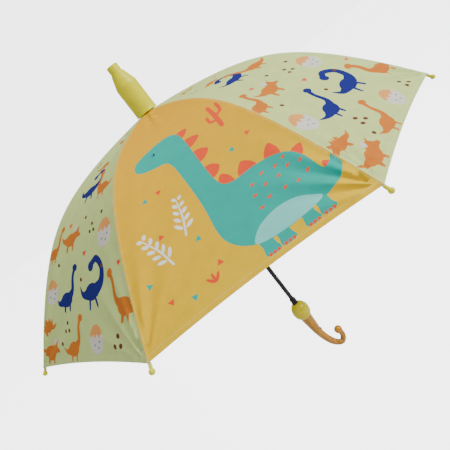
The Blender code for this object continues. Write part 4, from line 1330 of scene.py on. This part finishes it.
def collar_rings(s):
    """The collar over the bulb, with a bead at its foot and a rounded top."""
    low = s.bulb_half * math.sin(math.acos(s.bulb_top_r / s.bulb_r)) + GAP
    high = low + s.collar_length
    outline = ((0.0, low), (0.0003, low + 0.0009), (0.0, low + 0.0018), (0.0, high - 0.0030),
               (-0.0003, high - 0.0018), (-0.0009, high - 0.0005), (-0.0014, high))
    return [(AXIS_R, low)] + [(s.collar_r + out, z) for out, z in outline] + [(AXIS_R, high)]


HOOK_BENDS = ((1.0, -42, 10.3), (2.0, -63, 8.5), (6.3, -85, 7.6), (12.7, -103, 7.2), (20.8, -115.5, 6.4),
              (30.0, -120.5, 6.1), (37.2, -114, 5.8), (39.6, -104.5, 5.7),
              (39.2, -96, 6.0))   # x, z, radius, mm
HOOK_TOP_R = 12.0 * MM
CURL_PLACE = (37.9 * MM, 0.0, -91 * MM)
NUB_PLACE = (9.3 * MM, 0.0, -63.4 * MM)


def hook_route(s):
    """The hook's centre line and radius, from under the bulb to its curled tip."""
    low = -s.bulb_half * math.sin(math.acos(s.bulb_low_r / s.bulb_r)) - GAP
    top = [(0.0, low / MM, HOOK_TOP_R / MM), (0.1, low / MM - 4, HOOK_TOP_R / MM)]
    return [(x * MM, z * MM, radius * MM) for x, z, radius in smooth_route(top + list(HOOK_BENDS), 5)]


# ---------------------------------------------------------------- pieces at the end of each rib

def rib_direction(angle):
    """Which way a rib points at its outer end."""
    fall = canopy_settings().rim_slope
    return Vector((math.cos(angle) * math.cos(fall), math.sin(angle) * math.cos(fall), -math.sin(fall)))


def ball_tip(index, looks):
    """A rib's ball tip: a short sleeve, a waist and a ball, placed along the rib's end."""
    s = mouldings()
    source = frame["nodes"][f"rib_tip_{index + 1}"]
    outward = rib_direction(rib_angle(index))
    along = [vertex.co.dot(outward) for vertex in source.data.vertices]
    start = min(along)
    ball = max(along) - s.tip_ball_r
    inner = [vertex.co for vertex in source.data.vertices if vertex.co.dot(outward) < start + MM]
    middle = sum(inner, Vector()) / len(inner)
    origin = middle - outward * middle.dot(outward)
    join = math.degrees(math.asin(s.tip_neck_r / s.tip_ball_r))
    neck = s.tip_neck_r
    waist = neck - 0.00015
    rings = [(0.0002, 0.0), (neck - 0.0003, 0.0), (neck, 0.0003), (neck, 0.0009),
             (waist, 0.0011), (waist, 0.0022), (neck, 0.0024)]
    height = ball - start
    rings += arc_rings(0.0, height, s.tip_ball_r, -90 + join, 88, 14)
    piece = turned_piece(f"ball_tip_{index + 1}", rings, 28, 50.0)
    turn = outward.to_track_quat("Z", "Y").to_matrix().to_4x4()
    piece.data.transform(Matrix.Translation(origin + outward * start) @ turn)
    give(piece, looks)
    return piece


def loop_of_thread(centre, axis, radius, turns, pitch, count=18):
    """Points of a thread wound round an axis."""
    frame_turn = Vector(axis).to_track_quat("Z", "Y").to_matrix()
    points = []
    for step in range(int(count * turns) + 1):
        angle = 2 * math.pi * step / count
        share = step / (count * turns) - 0.5
        offset = Vector((radius * math.cos(angle), radius * math.sin(angle), share * pitch * turns))
        points.append(Vector(centre) + frame_turn @ offset)
    return points


def thread_mesh(name, lines, thread, sides=6):
    """Round threads along lines of points, closed at both ends."""
    vertices, faces = [], []
    for line in lines:
        start = len(vertices)
        ahead = (line[1] - line[0]).normalized()
        side = ahead.orthogonal().normalized()
        for index, point in enumerate(line):
            ahead = (line[min(index + 1, len(line) - 1)] - line[max(index - 1, 0)]).normalized()
            side = (side - ahead * side.dot(ahead)).normalized()
            other = ahead.cross(side)
            for step in range(sides):
                angle = 2 * math.pi * step / sides
                vertices.append(point + thread * (side * math.cos(angle) + other * math.sin(angle)))
        for index in range(len(line) - 1):
            low = start + index * sides
            for step in range(sides):
                ahead_step = (step + 1) % sides
                faces.append((low + step, low + ahead_step, low + sides + ahead_step, low + sides + step))
        faces.append(tuple(start + step for step in reversed(range(sides))))
        last = start + (len(line) - 1) * sides
        faces.append(tuple(last + step for step in range(sides)))
    mesh = bpy.data.meshes.new(name)
    mesh.from_pydata([tuple(vertex) for vertex in vertices], [], faces)
    mesh.update()
    for polygon in mesh.polygons:
        polygon.use_smooth = True
    piece = bpy.data.objects.new(name, mesh)
    bpy.context.collection.objects.link(piece)
    return piece


TIE_ARCS = (0.135, 0.285, 0.385)    # how far along a rib each tie is
TIE_LOOP_R = 2.2 * MM
TIE_DROP = 2.4 * MM                 # from the cloth to the middle of the rib's wire
TIE_TURNS = 4


def rib_ties(index, shape, looks):
    """Thread that ties the seam to the rib, and the stitches that hold a corner to its ball tip."""
    s = mouldings()
    angle = rib_angle(index)
    outward = Vector((math.cos(angle), math.sin(angle), 0.0))
    lines = []
    for arc in TIE_ARCS:
        radius, height, fall = (float(np.interp(arc, shape.arcs, each)) for each in
                                (shape.radius, shape.height, shape.slope))
        down = outward * -math.sin(fall) + Vector((0, 0, -math.cos(fall)))
        along = outward * math.cos(fall) + Vector((0, 0, -math.sin(fall)))
        centre = outward * radius + Vector((0, 0, height)) + down * TIE_DROP
        lines.append(loop_of_thread(centre, along, TIE_LOOP_R, TIE_TURNS, 2.1 * s.thread_r))
    outward_end = rib_direction(angle)
    corner = outward * float(shape.radius[-1]) + Vector((0, 0, float(shape.height[-1])))
    side = Vector((-math.sin(angle), math.cos(angle), 0.0))
    under = outward_end.cross(side)
    if under.z > 0:
        under = -under
    for shift in (-0.0012, 0.0, 0.0012):
        start = corner - outward_end * 0.0025 + side * shift - under * 0.0006
        middle = corner + outward_end * 0.0008 + side * shift * 0.8 + under * 0.0004
        end = corner + outward_end * 0.0022 + side * shift * 0.6 + under * 0.0016
        lines.append([start, middle, end])
    piece = thread_mesh(f"rib_ties_{index + 1}", lines, s.thread_r)
    give(piece, looks)
    return piece


# ---------------------------------------------------------------- operators

class OBJECT_OT_umbrella_canopy(bpy.types.Operator):
    """Build the eight canopy sections of printed cloth"""
    bl_idname = "object.umbrella_canopy"
    bl_label = "Canopy"

    def execute(self, context):
        shape = ClothShape(canopy_settings())
        gores = (Gore(shape, picture_print()), Gore(shape, leaf_print()))
        looks = canopy_material()
        for index in range(RIBS):
            section = Section(index, shape, gores)
            obj = section.build(f"cloth_section_{index + 1}", looks)
            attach(obj, f"rib_{index + 1}")
            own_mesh(obj)
            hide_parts(f"canopy_{index + 1}")
        return {"FINISHED"}


class OBJECT_OT_umbrella_threads(bpy.types.Operator):
    """Tie the canopy to its ribs with thread"""
    bl_idname = "object.umbrella_threads"
    bl_label = "Threads"

    def execute(self, context):
        shape = ClothShape(canopy_settings())
        looks = plain_material("sewing thread", (0.86, 0.84, 0.52), 0.75)
        for index in range(RIBS):
            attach(rib_ties(index, shape, looks), f"rib_{index + 1}")
        return {"FINISHED"}


class OBJECT_OT_umbrella_tips(bpy.types.Operator):
    """Build the eight ball tips"""
    bl_idname = "object.umbrella_tips"
    bl_label = "Ball tips"

    def execute(self, context):
        looks = plastic_material("tip plastic", colours().lemon, 0.32)
        for index in range(RIBS):
            tip = ball_tip(index, looks)
            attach(tip, f"rib_{index + 1}")
            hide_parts(f"rib_tip_{index + 1}")
        return {"FINISHED"}


class OBJECT_OT_umbrella_cover(bpy.types.Operator):
    """Build the drip cover and its loose inner tubes"""
    bl_idname = "object.umbrella_cover"
    bl_label = "Drip cover"

    def execute(self, context):
        s = mouldings()
        looks = plastic_material("cover plastic", colours().lemon, 0.36)
        sleeve = turned_piece("drip_sleeve", cover_profile(s), 72)
        give(sleeve, looks)
        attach(sleeve, "drip_cover")
        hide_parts("cover_sleeve_outer")
        tip = turned_piece("drip_neck", cover_tip_profile(s), 48)
        give(tip, looks)
        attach(tip, "shaft")
        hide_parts("cover_tip")
        for name in ("cover_sleeve_middle", "cover_sleeve_inner"):
            smooth_copy(name, looks)
        return {"FINISHED"}


class OBJECT_OT_umbrella_handle(bpy.types.Operator):
    """Build the bulb, the collar over it and the hooked grip"""
    bl_idname = "object.umbrella_handle"
    bl_label = "Handle"

    def execute(self, context):
        s = mouldings()
        bulb = turned_piece("grip_bulb", handle_rings(s), 64)
        give(bulb, plastic_material("bulb plastic", colours().bulb, 0.25, coat=0.25))
        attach(bulb, "shaft")
        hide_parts("handle_bulb")
        collar = turned_piece("grip_collar", collar_rings(s), 40, 50.0)
        give(collar, plastic_material("collar plastic", (0.012, 0.012, 0.012), 0.4))
        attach(collar, "shaft")
        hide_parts("handle_collar")
        hook = swept_piece("grip_hook", hook_route(s), 32)
        hook = joined(hook, ball_piece("curl", CURL_PLACE, s.curl_r),
                      ball_piece("nub", NUB_PLACE, s.nub_r))
        pick(hook)
        bpy.ops.object.shade_smooth_by_angle(angle=math.radians(60))
        give(hook, amber_material())
        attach(hook, "shaft")
        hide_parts("handle_hook")
        return {"FINISHED"}


class OBJECT_OT_umbrella_frame(bpy.types.Operator):
    """Dress the ribs, the stretchers, the shaft, the crown and the runner"""
    bl_idname = "object.umbrella_frame"
    bl_label = "Frame"

    def execute(self, context):
        wire = metal_material("galvanised wire", (0.56, 0.57, 0.58), 0.34)
        rivet = metal_material("rivet steel", (0.70, 0.70, 0.70), 0.25)
        spring = metal_material("spring steel", (0.62, 0.63, 0.65), 0.2)
        lacquer = plastic_material("black lacquer", (0.006, 0.006, 0.007), 0.35, coat=0.15)
        black = plastic_material("black plastic", (0.016, 0.016, 0.017), 0.42)
        for index in range(1, RIBS + 1):
            smooth_copy(f"rib_{index}", wire, 50.0)
            smooth_copy(f"stretcher_{index}", wire, 50.0)
            smooth_copy(f"rib_rivet_{index}", rivet)
        smooth_copy("crown_ring", wire, 60.0)
        for name in ("top_catch", "bottom_catch"):
            smooth_copy(name, spring)
        smooth_copy("shaft_tube", lacquer, 40.0)
        for name in ("crown", "runner", "canopy_washer", "ferrule"):
            smooth_copy(name, black)
        return {"FINISHED"}


class OBJECT_OT_umbrella_stage(bpy.types.Operator):
    """Set the floor, the light and the camera"""
    bl_idname = "object.umbrella_stage"
    bl_label = "Stage"

    def execute(self, context):
        build_stage()
        return {"FINISHED"}


STEPS = (OBJECT_OT_umbrella_canopy, OBJECT_OT_umbrella_threads, OBJECT_OT_umbrella_tips,
         OBJECT_OT_umbrella_cover,
         OBJECT_OT_umbrella_handle, OBJECT_OT_umbrella_frame, OBJECT_OT_umbrella_stage)


class VIEW3D_PT_umbrella(bpy.types.Panel):
    """The umbrella's pieces, in the order in which they're built"""
    bl_label = "Children's Umbrella"
    bl_idname = "VIEW3D_PT_umbrella"
    bl_space_type = "VIEW_3D"
    bl_region_type = "UI"
    bl_category = "Umbrella"

    def draw(self, context):
        for step in STEPS:
            self.layout.operator(step.bl_idname)
        for name in SETTINGS:
            box = self.layout.box()
            settings = getattr(context.scene, name)
            for field in settings.__annotations__:
                box.prop(settings, field)


SETTINGS = {"umbrella_canopy": UmbrellaCanopySettings, "umbrella_colours": UmbrellaColourSettings,
            "umbrella_mouldings": UmbrellaMouldingSettings, "umbrella_stage": UmbrellaStageSettings}


def register():
    for each in (*SETTINGS.values(), *STEPS, VIEW3D_PT_umbrella):
        bpy.utils.register_class(each)
    for name, settings in SETTINGS.items():
        setattr(bpy.types.Scene, name, PointerProperty(type=settings))


def unregister():
    for name in SETTINGS:
        delattr(bpy.types.Scene, name)
    for each in reversed((*SETTINGS.values(), *STEPS, VIEW3D_PT_umbrella)):
        bpy.utils.unregister_class(each)


def main():
    register()
    weave_group()
    stitch_group()
    blotch_group()
    bpy.ops.object.umbrella_canopy()
    bpy.ops.object.umbrella_threads()
    bpy.ops.object.umbrella_tips()
    bpy.ops.object.umbrella_cover()
    bpy.ops.object.umbrella_handle()
    bpy.ops.object.umbrella_frame()
    bpy.ops.object.umbrella_stage()


if __name__ == "__main__":
    main()
